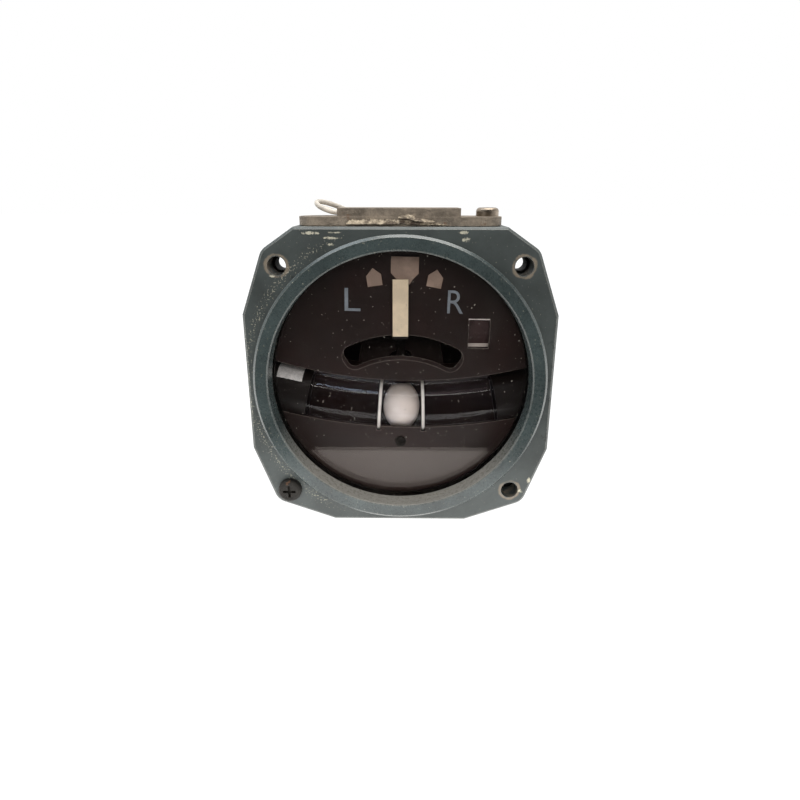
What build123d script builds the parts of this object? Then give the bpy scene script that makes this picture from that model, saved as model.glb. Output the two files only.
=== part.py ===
from build123d import *
import os
from math import acos, asin, atan2, cos, degrees, hypot, pi, radians, sin, sqrt, tan

# Aircraft turn and bank indicator for a 3 1/8 inch panel hole.
# Millimetres. +X is right and +Z is up as seen from the front, and the face looks along -Y.
# The origin is on the case axis, in the plane of the flange's front face.

# Clearances
slip = 0.02                  # radial, of parts that seat in one another
running = 0.05               # radial, of shafts in their bearings

# Case
case_radius = 39.0
case_length = 103.0
case_wall = 2.7
mouth_wall = 1.2             # what the mouth for the bezel leaves of the wall
mouth_play = 0.1
pad_back = 18.0
front_lug_length = 3.5
rear_lug_length = 4.4
lug_depth = 4.8              # how far the lugs stand in from the bore
lug_half = 9.0               # degrees
lug_screw_depth = 2.4        # from the bore to the middle of a lug's screw
lug_tap_radius = 1.3
front_lug_angles = (90.0, 210.0, 330.0)
rear_lug_angles = (45.0, 135.0, 225.0, 315.0)

# Mounting flange
flange_margin = 2.275        # from the case's side to the side flats, which are 3 1/4 inches apart
top_margin = 2.0             # from the case's top to the top flat
hole_margin = 5.45           # from the case's side to the 3 1/2 inch bolt circle
corner_margin = 3.87         # from a hole to where the corner's two slants meet, along X and Z
flat_setback = 16.45         # from there to the end of a side or bottom flat
top_flat_setback = 8.4       # the top flat is longer, because it carries the lamp fitting
flange_thickness = 4.0
flange_edge = 0.6            # chamfer of the front edge
corner_round = 4.0
hole_radius = 2.4
insert_front = 6.5
insert_radius = 3.0
thread_radius = 1.75         # number 6 screw
panel_screw_head = (3.3, 2.2)  # radius and height
panel_screw_reach = 1.5      # past the insert
boss_wall = 1.2
boss_back = 12.0
web_width = 5.0

# Bezel ring, glass and its retainer
bezel_overhang = 0.3         # how far the ring stands out over the case
bezel_front = -2.4
bezel_chamfer = 0.6
skirt_wall = 1.45
skirt_land = 1.1             # of the skirt behind the snap ring
lip_cover = 1.0              # how far the lip covers the glass
lip_slope = 0.15
lip_round = 0.3
seat_depth = 3.0
seal_thickness = 0.3
glass_play = 0.1
glass_thickness = 1.6
snap_ring_thickness = 0.9
snap_ring_width = 1.7
snap_ring_grip = 0.5         # how deep the ring sits in its groove
snap_ring_gap = 17.0         # half the open angle, at the top where the lamp shines in

# Dial, which sits a little to the right and turned, as it does in the photograph
dial_play = 0.3
dial_thickness = 1.2
dial_shift = 0.5
dial_turn = 1.2              # degrees clockwise as seen from the front
slot_width = 6.2             # of the needle's slot, about the needle's pivot
slot_half = 31.5             # degrees
slot_round = 2.2
slot_bevel = 0.9
slot_play = 0.4              # between the needle's stem and the slot's outer edge
window_margin = 15.2         # from the dial's edge to the middle of the window, along X
window_z = 12.9
window_size = (5.7, 7.9)
mark_thickness = 0.2
index_margin = 2.8           # from the dial's edge to the index
index_half = 3.7
index_neck = 1.4             # half width of the index's foot
index_length = 7.2
index_shoulders = (4.3, 6.0)  # below the top, where the head ends and where the neck starts
side_mark_angle = 9.55       # degrees from the index, about the needle's pivot
side_mark_width = 4.0
side_mark_drops = (7.2, 4.3, 2.45)  # foot, shoulder and point of a side mark below the index's top
standoff_angles = (17.0, 163.0, 238.0, 302.0)
standoff_margin = 2.2        # from the dial's edge to the middle of a standoff
standoff_radius = 1.8

# Inclinometer
tube_radius = 6.5
tube_wall = 0.9
tube_z = -10.2               # height of the middle of the tube
tube_margin = 6.1            # from the dial's edge to the tube's end, along X
tube_end_wall = 0.5          # degrees
bend_radius = 141.5          # of the tube's centre line
ball_play = 0.3
wire_radius = 0.45
wire_place = 2.52            # degrees each side of the middle
wire_gap = 0.28              # between the wires and the cover glass
notch_half = 0.25            # degrees, of the notch that lets a wire through the dial's edge
cap_wall = 0.6
cap_length = 5.6             # degrees, before the case's bore trims it
cap_lap = 1.2                # degrees of the tube's end that the cap covers
cap_play = 0.1
trough_up = 2.2              # how far the trough reaches past the caps, above and below
trough_down = 0.5
trough_lip = 1.7             # how far the dial's own edge overlaps the tube from below
trough_wall = 0.9
trough_reach = 4.8           # degrees past the tube's end, before the dial's edge trims it
clip_drop = 0.7              # from the trough's underside to the screw of the tube clip
clip_half = 3.0
clip_thickness = 0.8
clip_tab = 6.0
clip_hole = 0.75

# Gear sectors between gimbal and needle, standard involute teeth
gear_module = 0.6
gimbal_teeth = 42
needle_teeth = 28
pressure_angle = 20.0
backlash = 0.08
gear_gap = 1.4               # between the front plate and the gears
gear_thickness = 1.5

# Needle
needle_drop = 5.9            # from the index's top to the needle's tip
needle_half = 2.1
needle_foot = 11.2
needle_thickness = 0.4
needle_gap = 0.5             # between the needle and the dial
stem_half = 1.5
stem_height = 0.6
arm_gap = 0.7                # between the trough and the needle's arm
arm_half = 1.3
arm_thickness = 0.6
arm_room = 2.6               # from the arm to the front plate
needle_hub = (2.8, 1.2)      # radius and thickness
counterweight = (2.4, 1.6)
counterweight_drop = 7.6
staff_radius = 0.8

# Frame of two plates on four posts
plate_thickness = 3.0
plate_play = 0.2             # between the front plate's edge and the case
rear_plate_play = 0.7
rear_room = 1.6              # between the rear plate and the rear lugs
opening_inner = 13.0         # of the lightening holes each side of the axis
opening_margin = 3.5         # from their outer edge to the lugs
post_radius = 2.2
post_margin = 3.35           # from the case's bore to the middle of a post
post_tap_depth = 8.0
post_screw_radius = 1.2
bush_radius = 2.0
bridge_gap = 1.6             # between the gears and the needle's bridge
bridge_thickness = 2.0
bridge_half = 13.0
bridge_top = 3.0             # above the needle's pivot
bridge_foot = 3.5            # below its pillars
bridge_round = 3.0
pillar_x = 10.5
pillar_radius = 2.2
pillar_margin = 7.8          # from the case's bore to the middle of a pillar

# Gimbal
gimbal_half_x = 26.0
gimbal_half_z = 7.0
gimbal_wall = 3.5
gimbal_rounds = (7.0, 4.0)   # outer and inner corners
gimbal_gap = 2.0             # between the needle's bridge and the gimbal
pivot_radius = 2.0
pivot_end = 0.4
bearing_radius = 4.0

# Rotor and the motor that spins it, whose radii are shares of the rotor's or of the magnet's own
rotor_side = 10.5            # from the rotor's end to the gimbal, where the commutator and brushes are
rotor_web = 3.5              # half thickness of the web
rotor_gap = 2.0              # between the rim and the gimbal
rotor_headroom = 5.0         # between the rim and the capacitor
rim_share = 7 / 9
rotor_shaft_radius = 1.5
magnet_gap = 0.8
magnet_face = 1.0            # between the magnet and the web
magnet_bore_share = 0.318
commutator_share = 5 / 18
commutator_gap = 3.5         # between the commutator and the gimbal
commutator_bars = 12
bar_gap = 0.4
brush_size = 3.0
brush_length = 1.55
brush_setback = 4.0          # from the commutator's end to the far side of the brush
holder_share = 2 / 3
holder_half = 3.0

# Damper and centring spring
crank_gap = 1.5              # between the gimbal and the damper's crank
crank_thickness = 1.6
crank_hub = 4.2
crank_half = 2.0
crank_pin_radius = 0.8
horn_half = 1.4
horn_top = 10.5
damper_radius = 4.5
damper_wall = 0.4
damper_cap = 1.0
damper_foot = 1.0            # between the cylinder and the rear plate
damper_top = -10.0
damper_margin = 10.3         # from the case's bore to the cylinder's lower end
damper_post_gap = 1.1        # between the cylinder and the post beside it
damper_pad = 3.5
piston_play = 0.1
piston_half = 1.0
piston_drop = 0.5            # of the piston below the middle of its cylinder
piston_rod_radius = 1.2
yoke_half = (3.8, 1.6, 2.4)
yoke_slot = (1.7, 1.3)
spring_radius = 1.8
spring_wire = 0.3
spring_turns = 7
anchor_margin = 9.3          # from the case's bore to the spring's anchor
anchor_thickness = 1.5
anchor_reach = 1.8
bracket_half = 3.5

# Warning flag, a vane that hangs from a staff behind its window and swings back
flag_overlap = (0.75, 0.65, 1.75)  # past the window's sides, foot and top
flag_offset = 0.7            # of the vane's middle from the window's
flag_gap = 0.7               # between the dial and the vane
flag_thickness = 0.4
flag_staff_drop = 3.1        # from the vane back to its staff
flag_staff_rise = 1.2        # from the vane's top up to its staff
flag_staff_radius = 0.6
flag_hub_radius = 1.1
flag_ear_gaps = (2.7, 1.9)   # from the vane to the ears
flag_ear_thickness = 0.8
flag_ear_radius = 1.4
motor_gap = 0.6
motor_length = 6.2
motor_radius = 3.5

# Filter capacitor
capacitor_radius = 5.5
capacitor_margin = 7.8       # from the case's bore to its middle
capacitor_length = 30.0
capacitor_gap = 14.0         # between the capacitor and the rear plate
capacitor_lead = (0.6, 5.0)
tray_thickness = 1.0

# Rear cover and power receptacle
gasket_thickness = 0.6
gasket_width = 8.8
cover_thickness = 4.0
cover_chamfer = 1.0
cover_hole = 1.6
receptacle_flange = 26.0
receptacle_plate = 2.5
receptacle_radius = 9.0
receptacle_wall = 1.3
receptacle_length = 12.0
receptacle_pitch = 20.6
receptacle_screw = (2.4, 1.4, 1.5)  # radii of head and shank, and the head's height
socket_inset = 2.0           # how far the insert reaches into the cover
socket_reach = 8.0           # and out of it
contact_radius = 1.0
contact_circle = 4.2
contact_tail = 6.0
contact_reach = 13.0

# Lamp fitting on the top flat
lamp_plate_ends = (0.6, 0.8)  # from the ends of the top flat to the plate's, left and right
lamp_plate_y = (2.0, 17.0)
lamp_plate_round = 6.0
lamp_gasket_thickness = 0.2
lamp_gasket_inset = 0.5
lamp_plate_thickness = 2.1
lamp_housing_x = (-16.0, 15.2)
lamp_housing_y = (2.4, 16.4)
lamp_housing_height = 2.1
lamp_housing_wall = 0.8
lamp_housing_round = 1.0
lamp_screw_setback = 4.3     # from the end of the top flat to the screw
lamp_screw_head = 2.95
lamp_screw_hole = 1.7
lamp_tap_depth = 6.0
lamp_setback = 0.6           # from the dial's face forward to the lamp
lamp_slot_half = (9.5, 0.9)
bulb_radius = 1.2
bulb_x = (-5.0, 4.0)
socket_x = (4.0, 8.5)
lead_radius = 0.65
lead_rise = 0.9              # of the leads' holes above the plate
grommet_wall = 1.0
strip_x = (-14.4, -6.4)
strip_height = 4.5
strip_depth = 2.0
strip_margin = 5.3           # from the case's bore to the strip's top

# The routes of the two lamp leads, from the housing's left end to the grommets on the case
lead_a_route = [
    (-15.2, 8.0, 44.2), (-16.9, 8.0, 44.2), (-19.2, 8.2, 44.8), (-21.3, 9.1, 45.7), (-22.3, 11.0, 46.6),
    (-21.6, 13.1, 46.9), (-19.6, 14.9, 46.5), (-17.5, 17.0, 45.7), (-15.5, 19.3, 44.8), (-13.6, 21.0, 43.6),
    (-12.4, 22.1, 41.6), (-12.2, 22.3, 38.9), (-12.2, 22.3, 27.5)]
lead_b_route = [
    (-15.2, 10.2, 44.2), (-16.9, 10.2, 44.2), (-18.8, 10.4, 44.7), (-20.5, 12.0, 45.2), (-20.5, 14.5, 45.1),
    (-18.9, 16.3, 44.5), (-16.6, 17.8, 43.8), (-14.2, 19.3, 43.1), (-11.6, 20.8, 42.6), (-9.5, 21.9, 41.6),
    (-8.6, 22.3, 39.9), (-8.6, 22.3, 27.5)]

# Across the case, from its outside inwards
bore_radius = case_radius - case_wall
mouth_radius = case_radius - mouth_wall
flange_half = case_radius + flange_margin
top_flat_z = case_radius + top_margin
hole = (case_radius + hole_margin) / sqrt(2)
corner_reach = hole + corner_margin
flat_half = corner_reach - flat_setback
top_flat_half = corner_reach - top_flat_setback
boss_radius = insert_radius + boss_wall
lug_inner = bore_radius - lug_depth
lug_screw_radius = bore_radius - lug_screw_depth
bezel_radius = case_radius + bezel_overhang
skirt_radius = mouth_radius - running
glass_seat = skirt_radius - skirt_wall
glass_radius = glass_seat - glass_play
bezel_lip = glass_radius - lip_cover
bezel_opening = bezel_lip + lip_slope
snap_ring_outer = glass_radius + snap_ring_grip
snap_ring_inner = snap_ring_outer - snap_ring_width
dial_radius = bore_radius - dial_play
post_place = (bore_radius - post_margin) / sqrt(2)
pillar_z = -sqrt((bore_radius - pillar_margin)**2 - pillar_x**2)
damper_arm = post_place - post_radius - damper_post_gap - damper_radius
damper_z = (damper_margin - bore_radius, damper_top)
anchor_z = bore_radius - anchor_margin
capacitor_z = capacitor_margin - bore_radius
strip_top = bore_radius - strip_margin
lamp_plate_x = (lamp_plate_ends[0] - top_flat_half, top_flat_half - lamp_plate_ends[1])
lamp_screw_x = top_flat_half - lamp_screw_setback

# Along the case, from the bezel back to the gears
seal_back = seat_depth + seal_thickness
seat_back = seal_back + glass_thickness
snap_ring_back = seat_back + snap_ring_thickness
bezel_skirt = snap_ring_back + skirt_land
dial_y = bezel_skirt + mouth_play
dial_back = dial_y + dial_thickness
needle_y = dial_y - needle_gap - needle_thickness
cap_radius = tube_radius + cap_wall
tube_y = seat_back + wire_gap + 2 * wire_radius + slip + tube_radius
trough_floor = tube_y + cap_radius + cap_play
arm_y = trough_floor + trough_wall + arm_gap
front_plate_y = arm_y + arm_room
plate_back = front_plate_y + plate_thickness
gear_y = plate_back + gear_gap
bridge_y = gear_y + gear_thickness + bridge_gap
bridge_back = bridge_y + bridge_thickness

# Along the case, from the rear cover forward to the gimbal
rear_plate_back = case_length - rear_lug_length - rear_room
rear_plate_y = rear_plate_back - plate_thickness
damper_y = rear_plate_y - damper_foot - damper_radius
crank_y = damper_y - damper_radius
crank_back = crank_y + crank_thickness
capacitor_y = (rear_plate_y - capacitor_gap - capacitor_length, rear_plate_y - capacitor_gap)
cover_front = case_length + gasket_thickness
cover_back = cover_front + cover_thickness
gimbal_front = bridge_back + gimbal_gap
gimbal_back = crank_y - crank_gap
gimbal_y = (gimbal_front + gimbal_back) / 2
gimbal_half_y = (gimbal_back - gimbal_front) / 2
gimbal_inside = gimbal_half_x - gimbal_wall

# The rotor is as large as its gimbal and the capacitor below it leave room for
rotor_radius = min(gimbal_half_y - gimbal_wall - rotor_gap, -capacitor_z - capacitor_radius - rotor_headroom)
rotor_half = gimbal_inside - rotor_side
rim_inner = rotor_radius * rim_share
magnet_radius = rim_inner - magnet_gap
commutator_radius = rotor_radius * commutator_share
commutator_end = gimbal_inside - commutator_gap

# On the dial
pivot_z = -gear_module * (gimbal_teeth + needle_teeth) / 2
index_top = dial_radius - index_margin
needle_top = index_top - needle_drop
slot_outer = needle_foot - pivot_z + stem_height + slot_play
slot_inner = slot_outer - slot_width
bend_z = tube_z + bend_radius
tube_end = degrees(asin((dial_radius - tube_margin) / bend_radius))
trough_span = tube_end + trough_reach
trough_low = cap_radius + trough_down
trough_high = cap_radius + trough_up
trough_bottom = tube_z - trough_low - trough_wall
clip_z = trough_bottom - clip_drop
ball_radius = tube_radius - tube_wall - ball_play
window_centre = (dial_radius - window_margin, window_z)
flag_middle = window_centre[0] + flag_offset
flag_half = window_size[0] / 2 + flag_overlap[0]
flag_x = (flag_middle - flag_half, flag_middle + flag_half)
flag_z = (window_z - window_size[1] / 2 - flag_overlap[1], window_z + window_size[1] / 2 + flag_overlap[2])
flag_y = dial_back + flag_gap
flag_staff_y = flag_y + flag_staff_drop
flag_staff_z = flag_z[1] + flag_staff_rise
flag_ear_x = (flag_x[0] - flag_ear_gaps[0], flag_x[1] + flag_ear_gaps[1])
motor_x = (flag_ear_x[0] - motor_gap - motor_length, flag_ear_x[0] - motor_gap)

# In the lamp fitting
lamp_y = dial_y - lamp_setback
lamp_middle_y = sum(lamp_plate_y) / 2
lamp_plate_z = top_flat_z + lamp_gasket_thickness
housing_z = lamp_plate_z + lamp_plate_thickness
housing_top = housing_z + lamp_housing_height


# Basic shapes
def rod_x(radius, x0, x1, y=0.0, z=0.0):
    return Pos((x0 + x1) / 2, y, z) * Rot(0, 90, 0) * Cylinder(radius, x1 - x0)


def rod_y(radius, y0, y1, x=0.0, z=0.0):
    return Pos(x, (y0 + y1) / 2, z) * Rot(90, 0, 0) * Cylinder(radius, y1 - y0)


def rod_z(radius, z0, z1, x=0.0, y=0.0):
    return Pos(x, y, (z0 + z1) / 2) * Cylinder(radius, z1 - z0)


def block(x0, x1, y0, y1, z0, z1):
    return Pos((x0 + x1) / 2, (y0 + y1) / 2, (z0 + z1) / 2) * Box(x1 - x0, y1 - y0, z1 - z0)


def slab(outline, y0, y1):
    """An outline drawn in X and Z, as thick as y0 to y1."""
    return extrude(Plane.XZ.offset(-y1) * outline, amount=y1 - y0)


def turned(points):
    """A ring turned about the case axis from its section in radius and y."""
    return revolve(make_face(Polyline(*points, close=True)), Axis.Y)


def polar(radius, angle, centre=(0.0, 0.0)):
    return (centre[0] + radius * cos(radians(angle)), centre[1] + radius * sin(radians(angle)))


def sector(inner, outer, middle, half, centre=(0.0, 0.0)):
    """A ring sector, its angles in degrees from +X towards +Z."""
    first, last = middle - half, middle + half
    return make_face([
        Line(polar(inner, first, centre), polar(outer, first, centre)),
        CenterArc(centre, outer, first, 2 * half),
        Line(polar(outer, last, centre), polar(inner, last, centre)),
        CenterArc(centre, inner, first, 2 * half)])


def bent(section, first, last):
    """A section in radius and y, swept about the tube's centre of curvature, in degrees from below."""
    return Pos(0, 0, bend_z) * Rot(0, 90 - last, 0) * revolve(section, Axis.Y, last - first)


def on_dial(part):
    """Moves a part from the dial's own axes to the case's."""
    return Pos(dial_shift, 0, 0) * Rot(0, dial_turn, 0) * part


def corners(half):
    return [(-half, half), (half, half), (-half, -half), (half, -half)]


def group(parts):
    return Compound(children=list(parts))


def recess(head_radius, depth):
    """The cross recess of a screw head that faces +Z, its top in the XY plane."""
    long, short = 1.1 * head_radius, 0.22 * head_radius
    return Pos(0, 0, -depth / 2) * (Box(long, short, depth) + Box(short, long, depth))


def screw_y(head_radius, shank_radius, seat, head, length, x, z, direction=1):
    """A pan head screw along Y: head in front of the seat for direction 1, behind it for -1."""
    screw = Cylinder(shank_radius, length, align=(Align.CENTER, Align.CENTER, Align.MAX))
    cap = Cylinder(head_radius, head, align=(Align.CENTER, Align.CENTER, Align.MIN))
    cap = fillet(cap.edges().sort_by(Axis.Z)[-1], 0.45 * head)
    screw += cap - Pos(0, 0, head) * recess(head_radius, 0.5 * head)
    return Pos(x, seat, z) * Rot(90 * direction, 0, 0) * screw


# Case, bezel and glass
def flange_outline():
    right = [
        (top_flat_half, top_flat_z), (corner_reach, corner_reach), (flange_half, flat_half),
        (flange_half, -flat_half), (corner_reach, -corner_reach), (flat_half, -flange_half)]
    left = [(-x, z) for x, z in reversed(right)]
    outline = make_face(Polyline(*right, *left, close=True))
    tips = [v for v in outline.vertices() if abs(abs(v.X) - abs(v.Y)) < 0.01]
    return fillet(tips, corner_round)


def case_body():
    flange = slab(flange_outline(), 0, flange_thickness)
    flange = chamfer(flange.faces().sort_by(Axis.Y)[0].edges(), flange_edge)
    body = flange + rod_y(case_radius, 0, case_length)
    body += block(-top_flat_half, top_flat_half, flange_thickness, pad_back, 0, top_flat_z)
    for x, z in corners(hole):
        body += rod_y(boss_radius, flange_thickness, boss_back, x, z)
        web = block(0, hypot(x, z), flange_thickness, boss_back, -web_width / 2, web_width / 2)
        body += Rot(0, -degrees(atan2(z, x)), 0) * web
    body -= rod_y(bore_radius, dial_y, case_length)
    body -= rod_y(mouth_radius, 0, dial_y)
    lugs = [(angle, plate_back, plate_back + front_lug_length) for angle in front_lug_angles]
    lugs += [(angle, case_length - rear_lug_length, case_length) for angle in rear_lug_angles]
    for angle, front, back in lugs:
        body += slab(sector(lug_inner, bore_radius + case_wall / 2, angle, lug_half), front, back)
        body -= rod_y(lug_tap_radius, front, back, *polar(lug_screw_radius, angle))
    for x, z in corners(hole):
        body -= rod_y(hole_radius, 0, insert_front, x, z)
        body -= rod_y(insert_radius, insert_front, boss_back, x, z)
    for x in (-lamp_screw_x, lamp_screw_x):
        body -= rod_z(lug_tap_radius, top_flat_z - lamp_tap_depth, top_flat_z, x, lamp_middle_y)
    half_x, half_y = lamp_slot_half
    body -= block(-half_x, half_x, lamp_y - half_y, lamp_y + half_y, lug_inner, top_flat_z)
    for route in (lead_a_route, lead_b_route):
        x, y, z = route[-1]
        body -= rod_z(lead_radius + grommet_wall, lug_inner, case_radius + 1, x, y)
    return body


def mount_inserts():
    ring = rod_y(insert_radius - slip, insert_front, boss_back)
    ring -= rod_y(thread_radius, insert_front, boss_back)
    return group(Pos(x, 0, z) * ring for x, z in corners(hole))


def bezel_ring():
    groove = glass_seat + snap_ring_grip
    ring = turned([
        (bezel_opening + lip_round, bezel_front), (bezel_radius - bezel_chamfer, bezel_front),
        (bezel_radius, bezel_front + bezel_chamfer), (bezel_radius, 0), (skirt_radius, 0),
        (skirt_radius, bezel_skirt), (glass_seat, bezel_skirt), (glass_seat, snap_ring_back),
        (groove, snap_ring_back), (groove, seat_back), (glass_seat, seat_back), (glass_seat, seat_depth),
        (bezel_lip, seat_depth), (bezel_opening, bezel_front + lip_round)])
    return ring - block(-lamp_slot_half[0], lamp_slot_half[0], seat_back, bezel_skirt, 0, bezel_radius)


def glass_seal():
    inner = bezel_lip + glass_play
    section = [(inner, seat_depth), (glass_radius, seat_depth), (glass_radius, seal_back), (inner, seal_back)]
    return turned(section)


def cover_glass():
    return rod_y(glass_radius, seal_back, seat_back)


def glass_snap_ring():
    ring = sector(snap_ring_inner, snap_ring_outer, 270, 180 - snap_ring_gap)
    return slab(ring, seat_back, snap_ring_back - slip)


# Dial and inclinometer
def tube_section(radius):
    return Pos(bend_radius, tube_y) * Circle(radius)


def trough_section(margin, front, floor):
    low, high = bend_radius - trough_high - margin, bend_radius + trough_low + margin
    return Pos((low + high) / 2, (front + floor) / 2) * Rectangle(high - low, floor - front)


def dial_edge_section(inner, outer):
    """A section that cuts through the dial's own thickness, from one radius of the bend to another."""
    middle = Pos((inner + outer) / 2, (dial_y + dial_back) / 2)
    return middle * Rectangle(outer - inner, dial_thickness + slip)


def dial_plate():
    outer = bent(trough_section(trough_wall, dial_y, trough_floor + trough_wall), -trough_span, trough_span)
    inner = bent(trough_section(0, dial_back, trough_floor), -trough_span, trough_span)
    mouth = dial_edge_section(bend_radius - trough_high, bend_radius + tube_radius - trough_lip)
    plate = on_dial(outer) & rod_y(dial_radius, dial_y, trough_floor + trough_wall)
    plate += rod_y(dial_radius, dial_y, dial_back)
    plate -= on_dial(inner)
    plate -= on_dial(bent(mouth, -trough_span, trough_span))
    reach = sqrt((tube_radius + 2 * wire_radius + slip)**2 - (tube_y - dial_back)**2)
    notch = dial_edge_section(bend_radius, bend_radius + reach + 0.1)
    for side in (-1, 1):
        plate -= on_dial(bent(notch, side * wire_place - notch_half, side * wire_place + notch_half))
        ends = sorted((side * (tube_end - cap_lap - notch_half / 2), side * trough_span))
        plate -= on_dial(bent(tube_section(cap_radius + cap_play), *ends))
    pivot = (0.0, pivot_z)
    opening = fillet(sector(slot_inner, slot_outer, 90, slot_half, pivot).vertices(), slot_round)
    bevel = fillet(sector(slot_inner, slot_outer - slot_bevel, 90, slot_half, pivot).vertices(), slot_round)
    plate -= on_dial(slab(opening, dial_y, dial_back))
    plate -= on_dial(extrude(Plane.XZ.offset(-dial_y - slot_bevel) * bevel, amount=slot_bevel, taper=-45))
    plate -= on_dial(slab(Pos(*window_centre) * Rectangle(*window_size), dial_y, dial_back))
    return plate - on_dial(rod_y(clip_hole, dial_y, dial_back, 0, clip_z))


def index_marks():
    front = dial_y - mark_thickness
    head, neck = (index_top - drop for drop in index_shoulders)
    foot = index_top - index_length
    right = [(index_half, index_top), (index_half, head), (index_half - 1.6, neck), (index_neck, foot)]
    left = [(-x, z) for x, z in reversed(right)]
    marks = [slab(make_face(Polyline(*right, *left, close=True)), front, dial_y)]
    foot, shoulder, apex = (index_top - pivot_z - drop for drop in side_mark_drops)
    half = side_mark_width / 2
    outline = [(-half, foot), (half, foot), (half, shoulder), (0, apex), (-half, shoulder)]
    side = make_face(Polyline(*outline, close=True))
    for angle in (-side_mark_angle, side_mark_angle):
        marks.append(Pos(0, 0, pivot_z) * Rot(0, angle, 0) * slab(side, front, dial_y))
    return group(on_dial(mark) for mark in marks)


def dial_standoffs():
    places = [polar(dial_radius - standoff_margin, angle) for angle in standoff_angles]
    return group(rod_y(standoff_radius, dial_back, front_plate_y, x, z) for x, z in places)


def tube_clip():
    """A leaf behind the dial that bears on the underside of the trough."""
    leaf = block(-clip_half, clip_half, dial_back, dial_back + clip_thickness, clip_z - 2.2, trough_bottom)
    for x0, x1 in ((-clip_half, -1), (1, clip_half)):
        leaf += block(x0, x1, dial_back, dial_back + clip_tab, trough_bottom - 0.5, trough_bottom)
    return on_dial(leaf - rod_y(clip_hole, dial_back, dial_back + clip_thickness, 0, clip_z))


def dial_screw():
    length = dial_thickness + clip_thickness + 1.2
    return on_dial(screw_y(1.5, clip_hole - running, dial_y, 0.5, length, 0, clip_z))


def inclinometer_tube():
    tube = bent(tube_section(tube_radius), -tube_end, tube_end)
    inside = tube_end - tube_end_wall
    return on_dial(tube - bent(tube_section(tube_radius - tube_wall), -inside, inside))


def ball_centre():
    return on_dial(Pos(0, tube_y, tube_z)).position


def ball():
    x, y, z = ball_centre()
    return Pos(x, y, z) * Sphere(ball_radius)


def marker_wires():
    """Staples round the front of the tube, their legs on the floor of the trough."""
    reach = tube_radius + wire_radius + slip
    hoop = Rot(90, 0, 0) * revolve(Pos(0, reach) * Circle(wire_radius), Axis.X, 180)
    for side in (-1, 1):
        hoop += rod_y(wire_radius, 0, trough_floor - tube_y, 0, side * reach)
    hoop = Pos(0, tube_y, -bend_radius) * hoop
    return group(on_dial(Pos(0, 0, bend_z) * Rot(0, angle, 0) * hoop) for angle in (-wire_place, wire_place))


def tube_end_caps():
    caps = []
    clear_of_ring = snap_ring_back + 0.3
    bore = rod_y(snap_ring_inner - 0.3, 0, clear_of_ring)
    bore += rod_y(dial_radius - cap_play, clear_of_ring, trough_floor)
    lap = bent(tube_section(tube_radius + slip), -tube_end, tube_end)
    for side in (-1, 1):
        first = tube_end - cap_lap if side > 0 else cap_lap - tube_end - cap_length
        cap = bent(tube_section(cap_radius), first, first + cap_length)
        foot = Rectangle(2 * cap_radius, trough_floor - tube_y)
        foot = Pos(bend_radius, (tube_y + trough_floor) / 2) * foot
        cap += bent(foot, first, first + cap_length)
        caps.append(((on_dial(cap) & bore) - on_dial(lap)).solids().sort_by(SortBy.VOLUME)[-1])
    return group(caps)


# Needle
def needle():
    arm_back, weight_z = arm_y + arm_thickness, pivot_z - counterweight_drop
    stem_top = needle_foot + stem_height
    blade = block(-needle_half, needle_half, needle_y, needle_y + needle_thickness, needle_foot, needle_top)
    stem = block(-stem_half, stem_half, needle_y, arm_back, needle_foot, stem_top)
    arm = block(-arm_half, arm_half, arm_y, arm_back, weight_z, stem_top)
    hub = rod_y(needle_hub[0], arm_y, arm_y + needle_hub[1], 0, pivot_z)
    weight = rod_y(counterweight[0], arm_y, arm_y + counterweight[1], 0, weight_z)
    bore = rod_y(staff_radius + slip, arm_y, arm_y + needle_hub[1], 0, pivot_z)
    return blade + stem + arm + hub + weight - bore


def needle_staff():
    return rod_y(staff_radius, arm_y - pivot_end, bridge_back + pivot_end, 0, pivot_z)


def involute(angle):
    return tan(angle) - angle


def gear_sector(teeth, shown, middle, hub, bore):
    """Teeth with straight facets along the involute, on a sector about the origin."""
    pitch = gear_module * teeth / 2
    base = pitch * cos(radians(pressure_angle))
    root, tip = pitch - 1.2 * gear_module, pitch + 0.95 * gear_module
    half_tooth = pi / (2 * teeth) - backlash / (2 * pitch)

    def half_angle(radius):
        slope = acos(min(1.0, base / max(radius, base)))
        return half_tooth + involute(radians(pressure_angle)) - involute(slope)

    flank = [root] + [base + slip + (tip - base - slip) * step / 3 for step in range(4) if base + slip > root]
    step_angle = 360 / teeth
    first = middle - step_angle * (shown - 1) / 2
    points = []
    for tooth in range(shown):
        angle = first + tooth * step_angle
        points += [polar(r, angle - degrees(half_angle(r))) for r in flank]
        points += [polar(r, angle + degrees(half_angle(r))) for r in reversed(flank)]
    last = first + (shown - 1) * step_angle
    points.append(polar(hub * 0.8, last + 20))
    points.append(polar(hub * 0.8, first - 20))
    return make_face(Polyline(*points, close=True)) + Circle(hub) - Circle(bore)


def needle_gear():
    outline = gear_sector(needle_teeth, 8, 90, 3.0, staff_radius + slip)
    return Pos(0, 0, pivot_z) * slab(outline, gear_y, gear_y + gear_thickness)


def needle_bushes():
    ring = Circle(bush_radius) - Circle(staff_radius + running)
    spots = ((front_plate_y, plate_back), (bridge_y, bridge_back))
    return group(Pos(0, 0, pivot_z) * slab(ring, y0, y1) for y0, y1 in spots)


def needle_bridge():
    low, high = min(pillar_z, pivot_z) - bridge_foot, pivot_z + bridge_top
    outline = Pos(0, (low + high) / 2) * RectangleRounded(2 * bridge_half, high - low, bridge_round)
    bridge = slab(outline, bridge_y, bridge_back)
    for x in (-pillar_x, pillar_x):
        bridge += rod_y(pillar_radius, plate_back, bridge_y, x, pillar_z)
        bridge -= rod_y(pillar_radius - lug_tap_radius, plate_back, bridge_back, x, pillar_z)
    return bridge - rod_y(bush_radius + slip, bridge_y, bridge_back, 0, pivot_z)


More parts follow.
